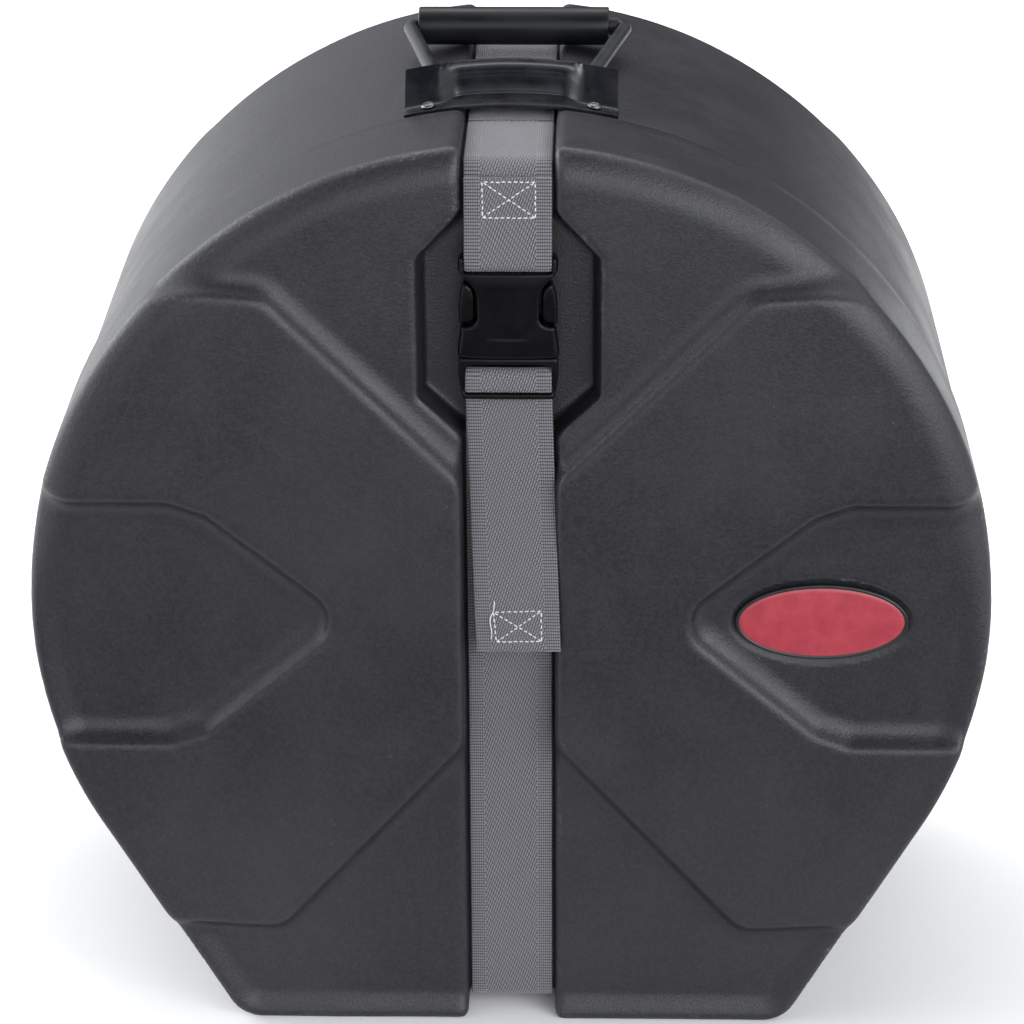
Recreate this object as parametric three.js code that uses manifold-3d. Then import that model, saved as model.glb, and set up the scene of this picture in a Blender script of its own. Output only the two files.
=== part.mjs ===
// Round-topped moulded drum case, standing upright on its flat base.
// Units are millimetres. +X is the case's right as seen from the front, +Z is up, and the front faces -Y.
// The origin is on the floor, under the centre of the case.
import * as THREE from "three";
import { mergeVertices } from "three/addons/utils/BufferGeometryUtils.js";
import Module from "manifold-3d";

const wasm = await Module();
wasm.setup();

// Driving sizes of the two moulded shells
const caseWidth = 457;
const caseDepth = 272;
const baseTrim = 3.5;
const sideTaper = THREE.MathUtils.degToRad(29.5);
const baseCornerRadius = 18;
const wall = 4;
const faceEdgeRadius = 10;
const leastEdgeRadius = 3;
const lidDepth = 73;
const rearSetIn = 2;
const spigotReach = 19;
const spigotRoot = 3;
const spigotWall = 3.6;
const fitClearance = 0.4;
const seatGap = 0.3;
const overrun = 30;

// Raised panels and side pockets of the moulded faces: places across are shares of the arch's
// radius, and places up are shares of the case's height
const panelRise = 8;
const panelEdgeRadius = 4;
const panelCornerRadius = 16;
const panelReachIn = 1;
const panelFootShares = [0.4945, 0.1213];
const panelShoulderShares = [0.4923, 0.8467];
const panelOuterShares = [0.1411, 0.8732];
const panelInnerShares = [0.3506, 0.6417];
const pocketApexShares = [0.372, 0.4873];
const pocketShoulderShare = 0.674;
const pocketHeightShares = [0.3462, 0.624];
const pocketCornerRadius = 14;
const pocketDraft = 4;

// Channel for the strap, all the way round
const channelWidth = 43;
const channelFrontDepth = 14;
const channelTopDepth = 9;
const channelBaseDepth = 9;
const channelBend = 9;

// Well for the buckle
const wellHalfWidth = 41;
const wellDepth = 23;
const wellTopDrop = 30.5;
const wellHeight = 109;
const wellShoulderDrop = 22;
const wellKneeRise = 20;
const wellDraft = 1.5;

// Oval plate
const plateAcrossShare = 0.6477;
const plateLength = 82;
const plateHeight = 39;
const plateThickness = 2.4;
const plateEdge = 1;
const plateRecess = 1.4;
const plateMargin = 2.4;

// Webbing strap
const strapWidth = 40;
const strapThickness = 2;
const strapSplit = 1;
const upperEndRise = 17;
const tailLength = 130;

// Side-release buckle
const buckleWidth = 47;
const buckleLift = 1.2;
const buckleEdge = 1;
const buckleCorner = 2.5;
const socketTopDrop = 20.5;
const socketHeight = 48;
const socketThickness = 13;
const socketWall = 2.2;
const socketSideWall = 4;
const socketBarHeight = 5.5;
const socketSlotHeight = 3.5;
const socketWindowRise = 14;
const socketWindowHeight = 20;
const socketWaist = 27;
const plugHeight = 20.5;
const plugBarHeight = 6.5;
const plugBarDepth = 3.6;
const plugBarEdge = 1.2;
const plugFootBarHeight = 2.6;
const plugSlotHeight = 3;
const plugTongueWidth = 7;
const plugTongueRise = 29;
const prongWidth = 3.4;
const prongDepth = 6;
const prongPadReach = 3.6;
const prongPadMargin = 1.2;
const prongPadSlope = 2;

// Carrying handle
const bailWire = 6.3;
const bailPivotSetBack = 27;
const bailPivotRise = 5.5;
const bailPivotHalf = 41;
const bailGripHalf = 53.5;
const bailReach = 82;
const bailBend = 5;
const gripDiameter = 18;
const gripLength = 88;
const gripBore = 11.6;
const sleeveDiameter = 11;
const sleeveLength = 91;
const sleeveShift = 1.8;
const sleeveBore = 6.9;
const gripEdge = 0.8;

// Stamped hood over the handle's pivot
const hoodPlate = 1.8;
const hoodHalfLength = 50;
const hoodSetBack = 4;
const hoodReach = 33;
const hoodHeight = 17;
const hoodRaisedHalf = 29;
const hoodBlend = 10;
const saddleHalfLength = 27;
const saddleWall = 2;
const saddleLip = THREE.MathUtils.degToRad(50);
const hoodScrewX = 38.5;
const hoodScrewInset = 5.5;
const screwHeadDiameter = 9;
const screwHeadHeight = 2.6;
const screwRimShare = 0.4;
const screwCrownShare = 0.6;
const screwDiameter = 4.8;
const screwLength = 15;
const screwHoleClearance = 0.3;
const washerDiameter = 12;
const washerThickness = 1.4;
const nutAcrossFlats = 8;
const nutHeight = 4;

// Foam lining
const padThickness = 12;
const padClearance = 0.5;
const linerThickness = 16.5;
const linerSetBack = 13;
const wedgeDrop = 105;
const nutPocketDiameter = 20;

const archRadius = caseWidth / 2;
const archCentreHeight = archRadius - baseTrim;
const frontY = -caseDepth / 2;
const rearY = caseDepth / 2;
const lidRimY = frontY + lidDepth;
const archTopZ = archCentreHeight + archRadius;
const rearArchRadius = archRadius - rearSetIn;
const hoodFrontY = lidRimY + hoodSetBack;
const panelInnerX = channelWidth / 2 - panelReachIn;
const wellTopZ = archTopZ - wellTopDrop;
const wellFootZ = wellTopZ - wellHeight;

const finish = {
  shell: { color: 0x3b3c42, roughness: 0.55, metalness: 0 },
  webbing: { color: 0x8f8c93, roughness: 0.9, metalness: 0 },
  buckle: { color: 0x121316, roughness: 0.38, metalness: 0 },
  steel: { color: 0x26282c, roughness: 0.42, metalness: 0.5 },
  bright: { color: 0x9a9a98, roughness: 0.35, metalness: 0.9 },
  rubber: { color: 0x1b1c20, roughness: 0.6, metalness: 0 },
  plate: { color: 0xa8343c, roughness: 0.3, metalness: 0 },
  foam: { color: 0x2a2a2d, roughness: 0.95, metalness: 0 },
};

const group = new THREE.Group();

// Solids from closed geometries, and meshes from solids
const weldTolerance = 1e-4;

function solid(geometry) {
  const bare = geometry.clone();
  bare.deleteAttribute("normal");
  bare.deleteAttribute("uv");
  const merged = mergeVertices(bare, weldTolerance);
  return new wasm.Manifold(
    new wasm.Mesh({
      numProp: 3,
      vertProperties: merged.attributes.position.array,
      triVerts: new Uint32Array(merged.index.array),
    }),
  );
}

function addPart(name, body, look, parent = group) {
  const mesh = body.getMesh();
  const geometry = new THREE.BufferGeometry();
  geometry.setAttribute("position", new THREE.BufferAttribute(mesh.vertProperties, 3));
  geometry.setIndex(new THREE.BufferAttribute(mesh.triVerts, 1));
  geometry.computeVertexNormals();
  const part = new THREE.Mesh(geometry, new THREE.MeshStandardMaterial(look));
  part.name = name;
  parent.add(part);
  return part;
}

// A closed solid through rings of points that run counterclockwise as seen against the loft's direction
function loft(rings, flatten) {
  const count = rings[0].length;
  const positions = rings.flat().flatMap((point) => [point.x, point.y, point.z]);
  const index = [];
  for (let ring = 0; ring + 1 < rings.length; ring++) {
    for (let i = 0; i < count; i++) {
      const next = (i + 1) % count;
      const a = ring * count + i;
      const b = ring * count + next;
      const c = (ring + 1) * count + next;
      const d = (ring + 1) * count + i;
      index.push(a, d, c, a, c, b);
    }
  }
  const last = (rings.length - 1) * count;
  const cap = (ring, end) =>
    THREE.ShapeUtils.triangulateShape(ring.map((point) => flatten(point, end)), []);
  for (const [a, b, c] of cap(rings[0], 0)) {
    index.push(a, b, c);
  }
  for (const [a, b, c] of cap(rings.at(-1), 1)) {
    index.push(last + a, last + c, last + b);
  }
  const geometry = new THREE.BufferGeometry();
  geometry.setAttribute("position", new THREE.Float32BufferAttribute(positions, 3));
  geometry.setIndex(index);
  return solid(geometry);
}

// A loft along +Y of outlines drawn in the X-Z plane
function loftAlongY(stations) {
  const rings = stations.map(({ outline, y }) =>
    outline.map((p) => new THREE.Vector3(p.x, y, p.y)),
  );
  return loft(rings, (point) => new THREE.Vector2(point.x, point.z));
}

// A loft along +X of outlines drawn in the Y-Z plane, counterclockwise with +Y to the right
function loftAlongX(stations) {
  const rings = stations
    .map(({ outline, x }) => outline.map((p) => new THREE.Vector3(x, p.x, p.y)))
    .reverse();
  return loft(rings, (point) => new THREE.Vector2(point.y, point.z));
}

// The outline moved inwards by a distance, for a counterclockwise polygon
function insetPolygon(corners, distance) {
  return corners.map((corner, i) => {
    const before = corners[(i + corners.length - 1) % corners.length];
    const after = corners[(i + 1) % corners.length];
    const inward = (from, to) =>
      new THREE.Vector2(-(to.y - from.y), to.x - from.x).normalize();
    const n1 = inward(before, corner);
    const n2 = inward(corner, after);
    const shift = distance / (1 + n1.dot(n2));
    return new THREE.Vector2(corner.x + (n1.x + n2.x) * shift, corner.y + (n1.y + n2.y) * shift);
  });
}

// The same polygon with each corner replaced by an arc, which takes less than half of a side
const cornerShare = 0.48;

function roundPolygon(corners, radius, steps = 3) {
  return corners.flatMap((corner, i) => {
    const before = corners[(i + corners.length - 1) % corners.length];
    const after = corners[(i + 1) % corners.length];
    const back = before.clone().sub(corner);
    const ahead = after.clone().sub(corner);
    const half = Math.abs(back.angleTo(ahead)) / 2;
    const reach = Math.min(
      radius / Math.tan(half),
      back.length() * cornerShare,
      ahead.length() * cornerShare,
    );
    const start = corner.clone().addScaledVector(back.normalize(), reach);
    const end = corner.clone().addScaledVector(ahead.normalize(), reach);
    const curve = new THREE.QuadraticBezierCurve(start, corner, end);
    return curve.getPoints(steps);
  });
}

// The case's outline seen from the front: a round arch, tapering sides and a flat base
function archOutline(inset, setIn = 0) {
  const radius = archRadius - inset - setIn;
  const points = [];
  const archSteps = 48;
  for (let i = 0; i <= archSteps; i++) {
    const angle = -sideTaper + ((Math.PI + 2 * sideTaper) * i) / archSteps;
    const x = radius * Math.cos(angle);
    points.push(new THREE.Vector2(x, archCentreHeight + radius * Math.sin(angle)));
  }
  const corner = Math.max(baseCornerRadius - inset, leastEdgeRadius);
  const centreZ = inset + corner;
  const tangentX = radius * Math.cos(sideTaper);
  const tangentZ = archCentreHeight - radius * Math.sin(sideTaper);
  const centreX =
    tangentX - (tangentZ - centreZ) * Math.tan(sideTaper) - corner / Math.cos(sideTaper);
  const cornerSteps = 5;
  for (const side of [-1, 1]) {
    for (let i = 0; i <= cornerSteps; i++) {
      const share = side < 0 ? i / cornerSteps : 1 - i / cornerSteps;
      const angle = sideTaper + (Math.PI / 2 - sideTaper) * share;
      const x = side * (centreX + corner * Math.cos(angle));
      points.push(new THREE.Vector2(x, centreZ - corner * Math.sin(angle)));
    }
  }
  return points;
}

// A block of the case's outline with its front edge rounded
function roundedBlock(inset, setIn, front, back) {
  const radius = Math.max(faceEdgeRadius - inset / 2, leastEdgeRadius);
  const stations = [];
  const edgeSteps = 3;
  for (let i = 0; i <= edgeSteps; i++) {
    const angle = (Math.PI / 2) * (i / edgeSteps);
    stations.push({
      outline: archOutline(inset + radius * (1 - Math.sin(angle)), setIn),
      y: front + radius * (1 - Math.cos(angle)),
    });
  }
  stations.push({ outline: archOutline(inset, setIn), y: back });
  return loftAlongY(stations);
}

// One side's raised panel, from the arch to the strap's channel
function panelCorners(side) {
  const beyond = archRadius + overrun;
  const corners = [
    [panelInnerX, panelInnerShares[0] * archTopZ],
    [panelFootShares[0] * archRadius, panelFootShares[1] * archTopZ],
    [beyond, panelOuterShares[0] * archTopZ],
    [beyond, panelOuterShares[1] * archTopZ],
    [panelShoulderShares[0] * archRadius, panelShoulderShares[1] * archTopZ],
    [panelInnerX, panelInnerShares[1] * archTopZ],
  ].map(([x, z]) => new THREE.Vector2(side * x, z));
  return side > 0 ? corners : corners.reverse();
}

// The pocket in a panel, open to the case's side
function pocketCorners(side) {
  const beyond = archRadius + overrun * 2;
  const shoulderX = pocketShoulderShare * archRadius;
  const [footZ, topZ] = pocketHeightShares.map((share) => share * archTopZ);
  const corners = [
    [pocketApexShares[0] * archRadius, pocketApexShares[1] * archTopZ],
    [shoulderX, footZ],
    [beyond, footZ],
    [beyond, topZ],
    [shoulderX, topZ],
  ].map(([x, z]) => new THREE.Vector2(side * x, z));
  return side > 0 ? corners : corners.reverse();
}

function raisedPanel(side, inset) {
  const front = frontY + inset;
  const radius = panelEdgeRadius;
  const station = (extra, y) => ({
    outline: roundPolygon(insetPolygon(panelCorners(side), inset + extra), panelCornerRadius),
    y,
  });
  const panel = loftAlongY([
    station(radius, front),
    station(radius * (1 - Math.SQRT1_2), front + radius * (1 - Math.SQRT1_2)),
    station(0, front + radius),
    station(-radius / 2, frontY + panelRise * 2 + inset),
  ]);
  const pocketStation = (extra, y) => ({
    outline: roundPolygon(insetPolygon(pocketCorners(side), extra - inset), pocketCornerRadius),
    y,
  });
  const pocket = loftAlongY([
    pocketStation(-panelEdgeRadius, front - overrun),
    pocketStation(0, front + panelEdgeRadius / 2),
    pocketStation(pocketDraft, frontY + panelRise + inset + overrun),
  ]);
  return panel.subtract(pocket);
}

// What is left inside the strap's channel: a long block with rounded bends, drawn in the Y-Z plane
function channelCore(inset, halfWidth) {
  const corners = [
    new THREE.Vector2(frontY + channelFrontDepth + inset, channelBaseDepth + inset),
    new THREE.Vector2(rearY - channelFrontDepth - inset, channelBaseDepth + inset),
    new THREE.Vector2(rearY - channelFrontDepth - inset, archTopZ - channelTopDepth - inset),
    new THREE.Vector2(frontY + channelFrontDepth + inset, archTopZ - channelTopDepth - inset),
  ];
  const outline = roundPolygon(corners, channelBend, 6);
  return loftAlongX([
    { outline, x: -halfWidth },
    { outline, x: halfWidth },
  ]);
}

function boxBetween(low, high) {
  const size = high.map((value, i) => value - low[i]);
  const centre = high.map((value, i) => (value + low[i]) / 2);
  return solid(new THREE.BoxGeometry(...size).translate(...centre));
}

function strapChannel(inset) {
  const half = channelWidth / 2 + inset;
  const slab = boxBetween(
    [-half, frontY - overrun, -overrun],
    [half, rearY + overrun, archTopZ + overrun],
  );
  return slab.subtract(channelCore(inset, half + overrun));
}

function wellCorners() {
  const right = [
    [panelInnerX, wellFootZ],
    [wellHalfWidth, wellFootZ + wellKneeRise],
    [wellHalfWidth, wellTopZ - wellShoulderDrop],
    [panelInnerX, wellTopZ],
  ];
  const left = right.map(([x, z]) => [-x, z]).reverse();
  return [...right, ...left].map(([x, z]) => new THREE.Vector2(x, z));
}

function buckleWell(inset) {
  const station = (extra, y) => ({
    outline: roundPolygon(insetPolygon(wellCorners(), extra - inset), panelEdgeRadius, 2),
    y,
  });
  return loftAlongY([
    station(-wellDraft * 2, frontY - overrun),
    station(-wellDraft, frontY + panelRise),
    station(wellDraft, frontY + wellDepth + inset),
  ]);
}

// The moulded form of one half, moved inwards by a distance; the rear half is its mirror image
function mouldedForm(inset, depth, setIn = 0) {
  const back = frontY + depth;
  let form = roundedBlock(inset, setIn, frontY + panelRise + inset, back);
  const full = roundedBlock(inset, setIn, frontY + inset, back);
  for (const side of [-1, 1]) {
    form = form.add(full.intersect(raisedPanel(side, inset)));
  }
  return form.subtract(strapChannel(inset));
}

function lidForm(inset, depth) {
  return mouldedForm(inset, depth).subtract(buckleWell(inset));
}

function mirrorY(body) {
  return body.mirror([0, 1, 0]);
}

const plateX = plateAcrossShare * archRadius;
const plateZ = ((pocketHeightShares[0] + pocketHeightShares[1]) / 2) * archTopZ;

function ovalOutline(length, height, steps = 40) {
  const points = [];
  for (let i = 0; i < steps; i++) {
    const angle = (2 * Math.PI * i) / steps;
    const x = plateX + (length / 2) * Math.cos(angle);
    points.push(new THREE.Vector2(x, plateZ + (height / 2) * Math.sin(angle)));
  }
  return points;
}

// Screws stand square to the arch, at each end of the hood
const screwLean = Math.asin(hoodScrewX / rearArchRadius);
const screwY = hoodFrontY + hoodScrewInset;

function alongArch(geometry, side, height) {
  const radius = rearArchRadius + height;
  return geometry
    .rotateX(Math.PI / 2)
    .rotateY(side * screwLean)
    .translate(
      side * radius * Math.sin(screwLean),
      screwY,
      archCentreHeight + radius * Math.cos(screwLean),
    );
}

function screwHole(side, diameter) {
  const hole = new THREE.CylinderGeometry(diameter / 2, diameter / 2, overrun * 2, 20);
  return solid(alongArch(hole, side, 0));
}

function frontShell() {
  const shell = lidForm(0, lidDepth).subtract(lidForm(wall, lidDepth + overrun));
  const recess = loftAlongY([
    {
      outline: ovalOutline(plateLength + plateMargin * 2, plateHeight + plateMargin * 2),
      y: frontY - overrun,
    },
    {
      outline: ovalOutline(plateLength + plateMargin, plateHeight + plateMargin),
      y: frontY + panelRise + plateRecess,
    },
  ]);
  return shell.subtract(recess);
}

function rearShell() {
  const bodyDepth = caseDepth - lidDepth - seatGap;
  const body = mirrorY(mouldedForm(0, bodyDepth, rearSetIn));
  const hollow = mirrorY(mouldedForm(wall, bodyDepth + overrun, rearSetIn));
  const neckDepth = spigotReach + spigotRoot;
  const neckBox = boxBetween(
    [-caseWidth, lidRimY - spigotReach, -overrun],
    [caseWidth, lidRimY - spigotReach + neckDepth, archTopZ + overrun],
  );
  const neckInset = wall + fitClearance;
  const neck = mouldedForm(neckInset, caseDepth).intersect(neckBox);
  const mouth = mouldedForm(neckInset + spigotWall, caseDepth);
  let shell = body.subtract(hollow.subtract(neckBox)).add(neck);
  shell = shell.subtract(mouth.intersect(neckBox));
  for (const side of [-1, 1]) {
    shell = shell.subtract(screwHole(side, screwDiameter + screwHoleClearance * 2));
  }
  return shell;
}

addPart("rear_shell", rearShell(), finish.shell);
addPart("front_shell", frontShell(), finish.shell);

// Oval plate in its recess on the right-hand pocket
const plateBackY = frontY + panelRise + plateRecess - seatGap;
addPart(
  "oval_plate",
  loftAlongY([
    {
      outline: ovalOutline(plateLength - plateEdge * 2, plateHeight - plateEdge * 2),
      y: plateBackY - plateThickness,
    },
    { outline: ovalOutline(plateLength, plateHeight), y: plateBackY - plateThickness + plateEdge },
    { outline: ovalOutline(plateLength, plateHeight), y: plateBackY },
  ]),
  finish.plate,
);

// Foam lining: a flat pad in the lid, a round pad at the back, an arch band, and a wedge in each
// corner of the base
const padInset = wall + padClearance;
const frontPadY = frontY + wellDepth + wall + seatGap;
const rearPadY = rearY - channelFrontDepth - wall - seatGap;

function facePad(front, back, setIn) {
  return loftAlongY([
    { outline: archOutline(padInset, setIn), y: front },
    { outline: archOutline(padInset, setIn), y: back },
  ]);
}

function neckCleared(body) {
  return body.subtract(strapChannel(padInset));
}

addPart("front_pad", neckCleared(facePad(frontPadY, frontPadY + padThickness, 0)), finish.foam);

const bayRadius = archRadius - wall - linerThickness;

function baySolid(radius, front, back) {
  const bay = new THREE.CylinderGeometry(radius, radius, back - front, 72);
  return solid(bay.translate(0, (front + back) / 2, archCentreHeight));
}
addPart(
  "rear_pad",
  neckCleared(baySolid(bayRadius - seatGap, rearPadY - padThickness, rearPadY)),
  finish.foam,
);

function wallLining() {
  const block = facePad(lidRimY + linerSetBack, rearPadY, rearSetIn);
  let lining = neckCleared(block).subtract(baySolid(bayRadius, -caseDepth, caseDepth));
  for (const side of [-1, 1]) {
    lining = lining.subtract(screwHole(side, nutPocketDiameter));
  }
  return lining;
}

const lining = wallLining();
const wedgeTopZ = archCentreHeight - wedgeDrop;
const wedgeInnerX = channelWidth / 2 + padInset;
for (const [side, label] of [[-1, "left"], [1, "right"]]) {
  const ends = [side * wedgeInnerX, side * caseWidth].sort((a, b) => a - b);
  const corner = boxBetween([ends[0], frontY, -overrun], [ends[1], rearY, wedgeTopZ]);
  addPart("base_wedge_" + label, lining.intersect(corner), finish.foam);
}
const overWedges = boxBetween(
  [-caseWidth, frontY, wedgeTopZ + seatGap],
  [caseWidth, rearY, archTopZ + overrun],
);
addPart("arch_liner", lining.intersect(overWedges), finish.foam);

// A ribbon of webbing: the middle line of its thickness in the Y-Z plane, drawn out along X
function ribbon(path, thickness, width) {
  const normals = path.map((point, i) => {
    const before = path[Math.max(i - 1, 0)];
    const after = path[Math.min(i + 1, path.length - 1)];
    const along = after.clone().sub(before).normalize();
    return new THREE.Vector2(-along.y, along.x);
  });
  const beside = (share) =>
    path.map((point, i) => point.clone().addScaledVector(normals[i], thickness * share));
  const outline = [...beside(-0.5), ...beside(0.5).reverse()];
  const upright = THREE.ShapeUtils.isClockWise(outline) ? outline.reverse() : outline;
  return loftAlongX([
    { outline: upright, x: -width / 2 },
    { outline: upright, x: width / 2 },
  ]);
}

function bend(before, corner, after, radius, steps = 5) {
  const back = before.clone().sub(corner).normalize();
  const ahead = after.clone().sub(corner).normalize();
  const half = Math.abs(back.angleTo(ahead)) / 2;
  const reach = radius / Math.tan(half);
  const start = corner.clone().addScaledVector(back, reach);
  const end = corner.clone().addScaledVector(ahead, reach);
  return new THREE.QuadraticBezierCurve(start, corner, end).getPoints(steps);
}

function route(corners, radius) {
  const points = [corners[0]];
  for (let i = 1; i + 1 < corners.length; i++) {
    points.push(...bend(corners[i - 1], corners[i], corners[i + 1], radius));
  }
  points.push(corners.at(-1));
  return points;
}

function turn(centre, radius, from, to, steps = 6) {
  const points = [];
  for (let i = 0; i <= steps; i++) {
    const angle = from + ((to - from) * i) / steps;
    points.push(v2(centre.x + radius * Math.cos(angle), centre.y + radius * Math.sin(angle)));
  }
  return points;
}

function v2(y, z) {
  return new THREE.Vector2(y, z);
}

const half = strapThickness / 2;
const layFrontY = frontY + channelFrontDepth - seatGap - half;
const layRearY = rearY - channelFrontDepth + seatGap + half;
const layTopZ = archTopZ - channelTopDepth + seatGap + half;
const layBaseZ = channelBaseDepth - seatGap - half;
const secondLayY = layFrontY - strapThickness - seatGap;
const seamFrontY = lidRimY - seatGap;
const seamRearY = seamFrontY + strapSplit;

// The run under the hood, down the back and under the base, on the rear shell
const rearRun = route(
  [
    v2(seamRearY, layTopZ),
    v2(layRearY, layTopZ),
    v2(layRearY, layBaseZ),
    v2(seamRearY, layBaseZ),
  ],
  channelBend,
);
addPart("strap_rear_run", ribbon(rearRun, strapThickness, strapWidth), finish.webbing);

// The upper run: over the lid, round the socket's bar and back up on itself
const buckleY = layFrontY - buckleLift;
const socketFrontY = buckleY - socketThickness / 2;
const socketBackY = buckleY + socketThickness / 2;
const socketTopZ = wellTopZ - socketTopDrop;
const socketFootZ = socketTopZ - socketHeight;
const socketBar = v2(buckleY, socketTopZ - socketBarHeight / 2);
const socketBarRadius = socketBarHeight / 2;
const wrapRadius = socketBarRadius + seatGap + half;
const upperRun = [
  v2(seamFrontY, layTopZ),
  ...bend(v2(seamFrontY, layTopZ), v2(layFrontY, layTopZ), v2(layFrontY, wellTopZ), channelBend),
  v2(layFrontY, wellTopZ + strapThickness),
  v2(socketBar.x + wrapRadius, socketTopZ + strapThickness),
  ...turn(socketBar, wrapRadius, 0, -Math.PI),
  v2(socketBar.x - wrapRadius, socketTopZ + strapThickness),
  v2(secondLayY, wellTopZ + strapThickness),
  v2(secondLayY, wellTopZ + upperEndRise),
];
addPart("strap_upper_run", ribbon(upperRun, strapThickness, strapWidth), finish.webbing);

// The lower run: up the channel, over the plug's bar and down again as the loose tail
const plugTopZ = socketFootZ - seatGap;
const plugFootZ = plugTopZ - plugHeight;
const plugBarBackY = layFrontY - half - seatGap;
const plugBarY = plugBarBackY - plugBarDepth / 2;
const plugBarTopZ = plugFootZ + plugFootBarHeight + plugSlotHeight + plugBarHeight;
const plugBarTop = v2(plugBarY, plugBarTopZ - plugBarDepth / 2);
const plugWrap = plugBarDepth / 2 + seatGap + half;
const plugBarFootZ = plugBarTopZ - plugBarHeight;
const overBarY = plugBarY - plugWrap;
const lowerRun = [
  v2(seamFrontY, layBaseZ),
  ...bend(v2(seamFrontY, layBaseZ), v2(layFrontY, layBaseZ), v2(layFrontY, wellFootZ), channelBend),
  ...turn(plugBarTop, plugWrap, 0, Math.PI),
  v2(overBarY, plugBarFootZ + half),
  v2(overBarY + seatGap, plugBarFootZ - half),
  v2((overBarY + secondLayY) / 2, plugBarFootZ - half * 2),
  v2(secondLayY - seatGap / 2, plugBarFootZ - plugSlotHeight + half / 2),
  v2(secondLayY, plugFootZ + plugFootBarHeight / 2),
  v2(secondLayY, plugFootZ - tailLength),
];
addPart("strap_lower_run", ribbon(lowerRun, strapThickness, strapWidth), finish.webbing);

// Side-release buckle: the socket, the plug with its bars, and the two prongs
function plateOutline(halfWidth, lowZ, highZ, radius) {
  const corners = [
    new THREE.Vector2(-halfWidth, lowZ),
    new THREE.Vector2(halfWidth, lowZ),
    new THREE.Vector2(halfWidth, highZ),
    new THREE.Vector2(-halfWidth, highZ),
  ];
  return roundPolygon(corners, radius);
}

function softBlock(halfWidth, lowZ, highZ, front, back, edge, corner) {
  const station = (inset, y) => ({
    outline: plateOutline(halfWidth - inset, lowZ + inset, highZ - inset, corner),
    y,
  });
  return loftAlongY([
    station(edge, front),
    station(0, front + edge),
    station(0, back - edge),
    station(edge, back),
  ]);
}

function rodAlongY(x, z, radius, steps = 28) {
  const rod = new THREE.CylinderGeometry(radius, radius, caseDepth, steps);
  return solid(rod.translate(x, buckleY, z));
}

const strapSlotHalf = strapWidth / 2 + seatGap;
const socketHalf = buckleWidth / 2;
const barFootZ = socketTopZ - socketBarHeight;
const windowRadius = (socketWindowHeight + socketWall) / 2;
const windowZ = socketFootZ + socketWindowRise + socketWindowHeight / 2;

function buckleSocket() {
  let body = softBlock(
    socketHalf,
    socketFootZ,
    socketTopZ,
    socketFrontY,
    socketBackY,
    buckleEdge,
    buckleCorner,
  );
  const cavity = boxBetween(
    [-socketHalf + socketSideWall, socketFrontY + socketWall, socketFootZ - overrun],
    [socketHalf - socketSideWall, socketBackY - socketWall, windowZ + windowRadius],
  );
  const slot = boxBetween(
    [-strapSlotHalf, socketFrontY - overrun, barFootZ - socketSlotHeight],
    [strapSlotHalf, socketBackY + overrun, socketTopZ + overrun],
  );
  const barLength = buckleWidth - buckleEdge * 2;
  const bar = new THREE.CylinderGeometry(socketBarRadius, socketBarRadius, barLength, 20);
  body = body.subtract(cavity).subtract(slot);
  body = body.add(solid(bar.rotateZ(Math.PI / 2).translate(0, socketBar.x, socketBar.y)));
  for (const side of [-1, 1]) {
    const x = side * (socketWaist / 2 + windowRadius);
    body = body.subtract(rodAlongY(x, windowZ, windowRadius));
  }
  return body;
}
addPart("buckle_socket", buckleSocket(), finish.buckle);

const plugHalf = socketHalf - buckleEdge / 2;
const plugFrontY = socketFrontY + buckleEdge / 2;
const plugBackY = socketBackY - buckleEdge / 2;

function bucklePlug() {
  const slotHalf = strapSlotHalf;
  const shoulderFootZ = plugBarTopZ + plugSlotHeight;
  let body = softBlock(plugHalf, plugFootZ, plugTopZ, plugFrontY, plugBackY, buckleEdge, buckleCorner);
  const opening = boxBetween(
    [-slotHalf, plugFrontY - overrun, plugFootZ - overrun],
    [slotHalf, plugBackY + overrun, shoulderFootZ],
  );
  const reach = slotHalf + buckleEdge;
  const bar = softBlock(
    reach,
    plugBarFootZ,
    plugBarTopZ,
    plugBarBackY - plugBarDepth,
    plugBarBackY,
    plugBarEdge,
    plugBarEdge,
  );
  const footBackY = secondLayY - half - seatGap;
  const footBar = softBlock(
    reach,
    plugFootZ,
    plugFootZ + plugFootBarHeight,
    plugFrontY,
    footBackY,
    plugFootBarHeight / 4,
    plugFootBarHeight / 4,
  );
  const tongue = boxBetween(
    [-plugTongueWidth / 2, buckleY - prongDepth / 2, plugTopZ - buckleEdge],
    [plugTongueWidth / 2, buckleY + prongDepth / 2, plugTopZ + plugTongueRise],
  );
  body = body.subtract(opening).add(bar).add(footBar).add(tongue);
  return body;
}
addPart("buckle_plug", bucklePlug(), finish.buckle);

function buckleProng(side) {
  const outerX = socketHalf - socketSideWall - seatGap * 2;
  const padX = outerX + prongPadReach;
  const innerX = outerX - prongWidth;
  const padHalf = socketWindowHeight / 2 - prongPadMargin;
  const corners = [
    [innerX, plugTopZ + seatGap],
    [outerX, plugTopZ + seatGap],
    [outerX, windowZ - padHalf],
    [padX, windowZ - padHalf + prongPadSlope],
    [padX, windowZ + padHalf - prongPadSlope * 2],
    [outerX - prongWidth / 2, windowZ + padHalf],
    [innerX, windowZ + padHalf - prongWidth / 2],
  ].map(([x, z]) => new THREE.Vector2(side * x, z));
  const outline = side > 0 ? corners : corners.reverse();
  const rounded = roundPolygon(outline, seatGap * 2, 1);
  return loftAlongY([
    { outline: rounded, y: buckleY - prongDepth / 2 },
    { outline: rounded, y: buckleY + prongDepth / 2 },
  ]);
}
addPart("buckle_prong_left", buckleProng(-1), finish.buckle);
addPart("buckle_prong_right", buckleProng(1), finish.buckle);

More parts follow.
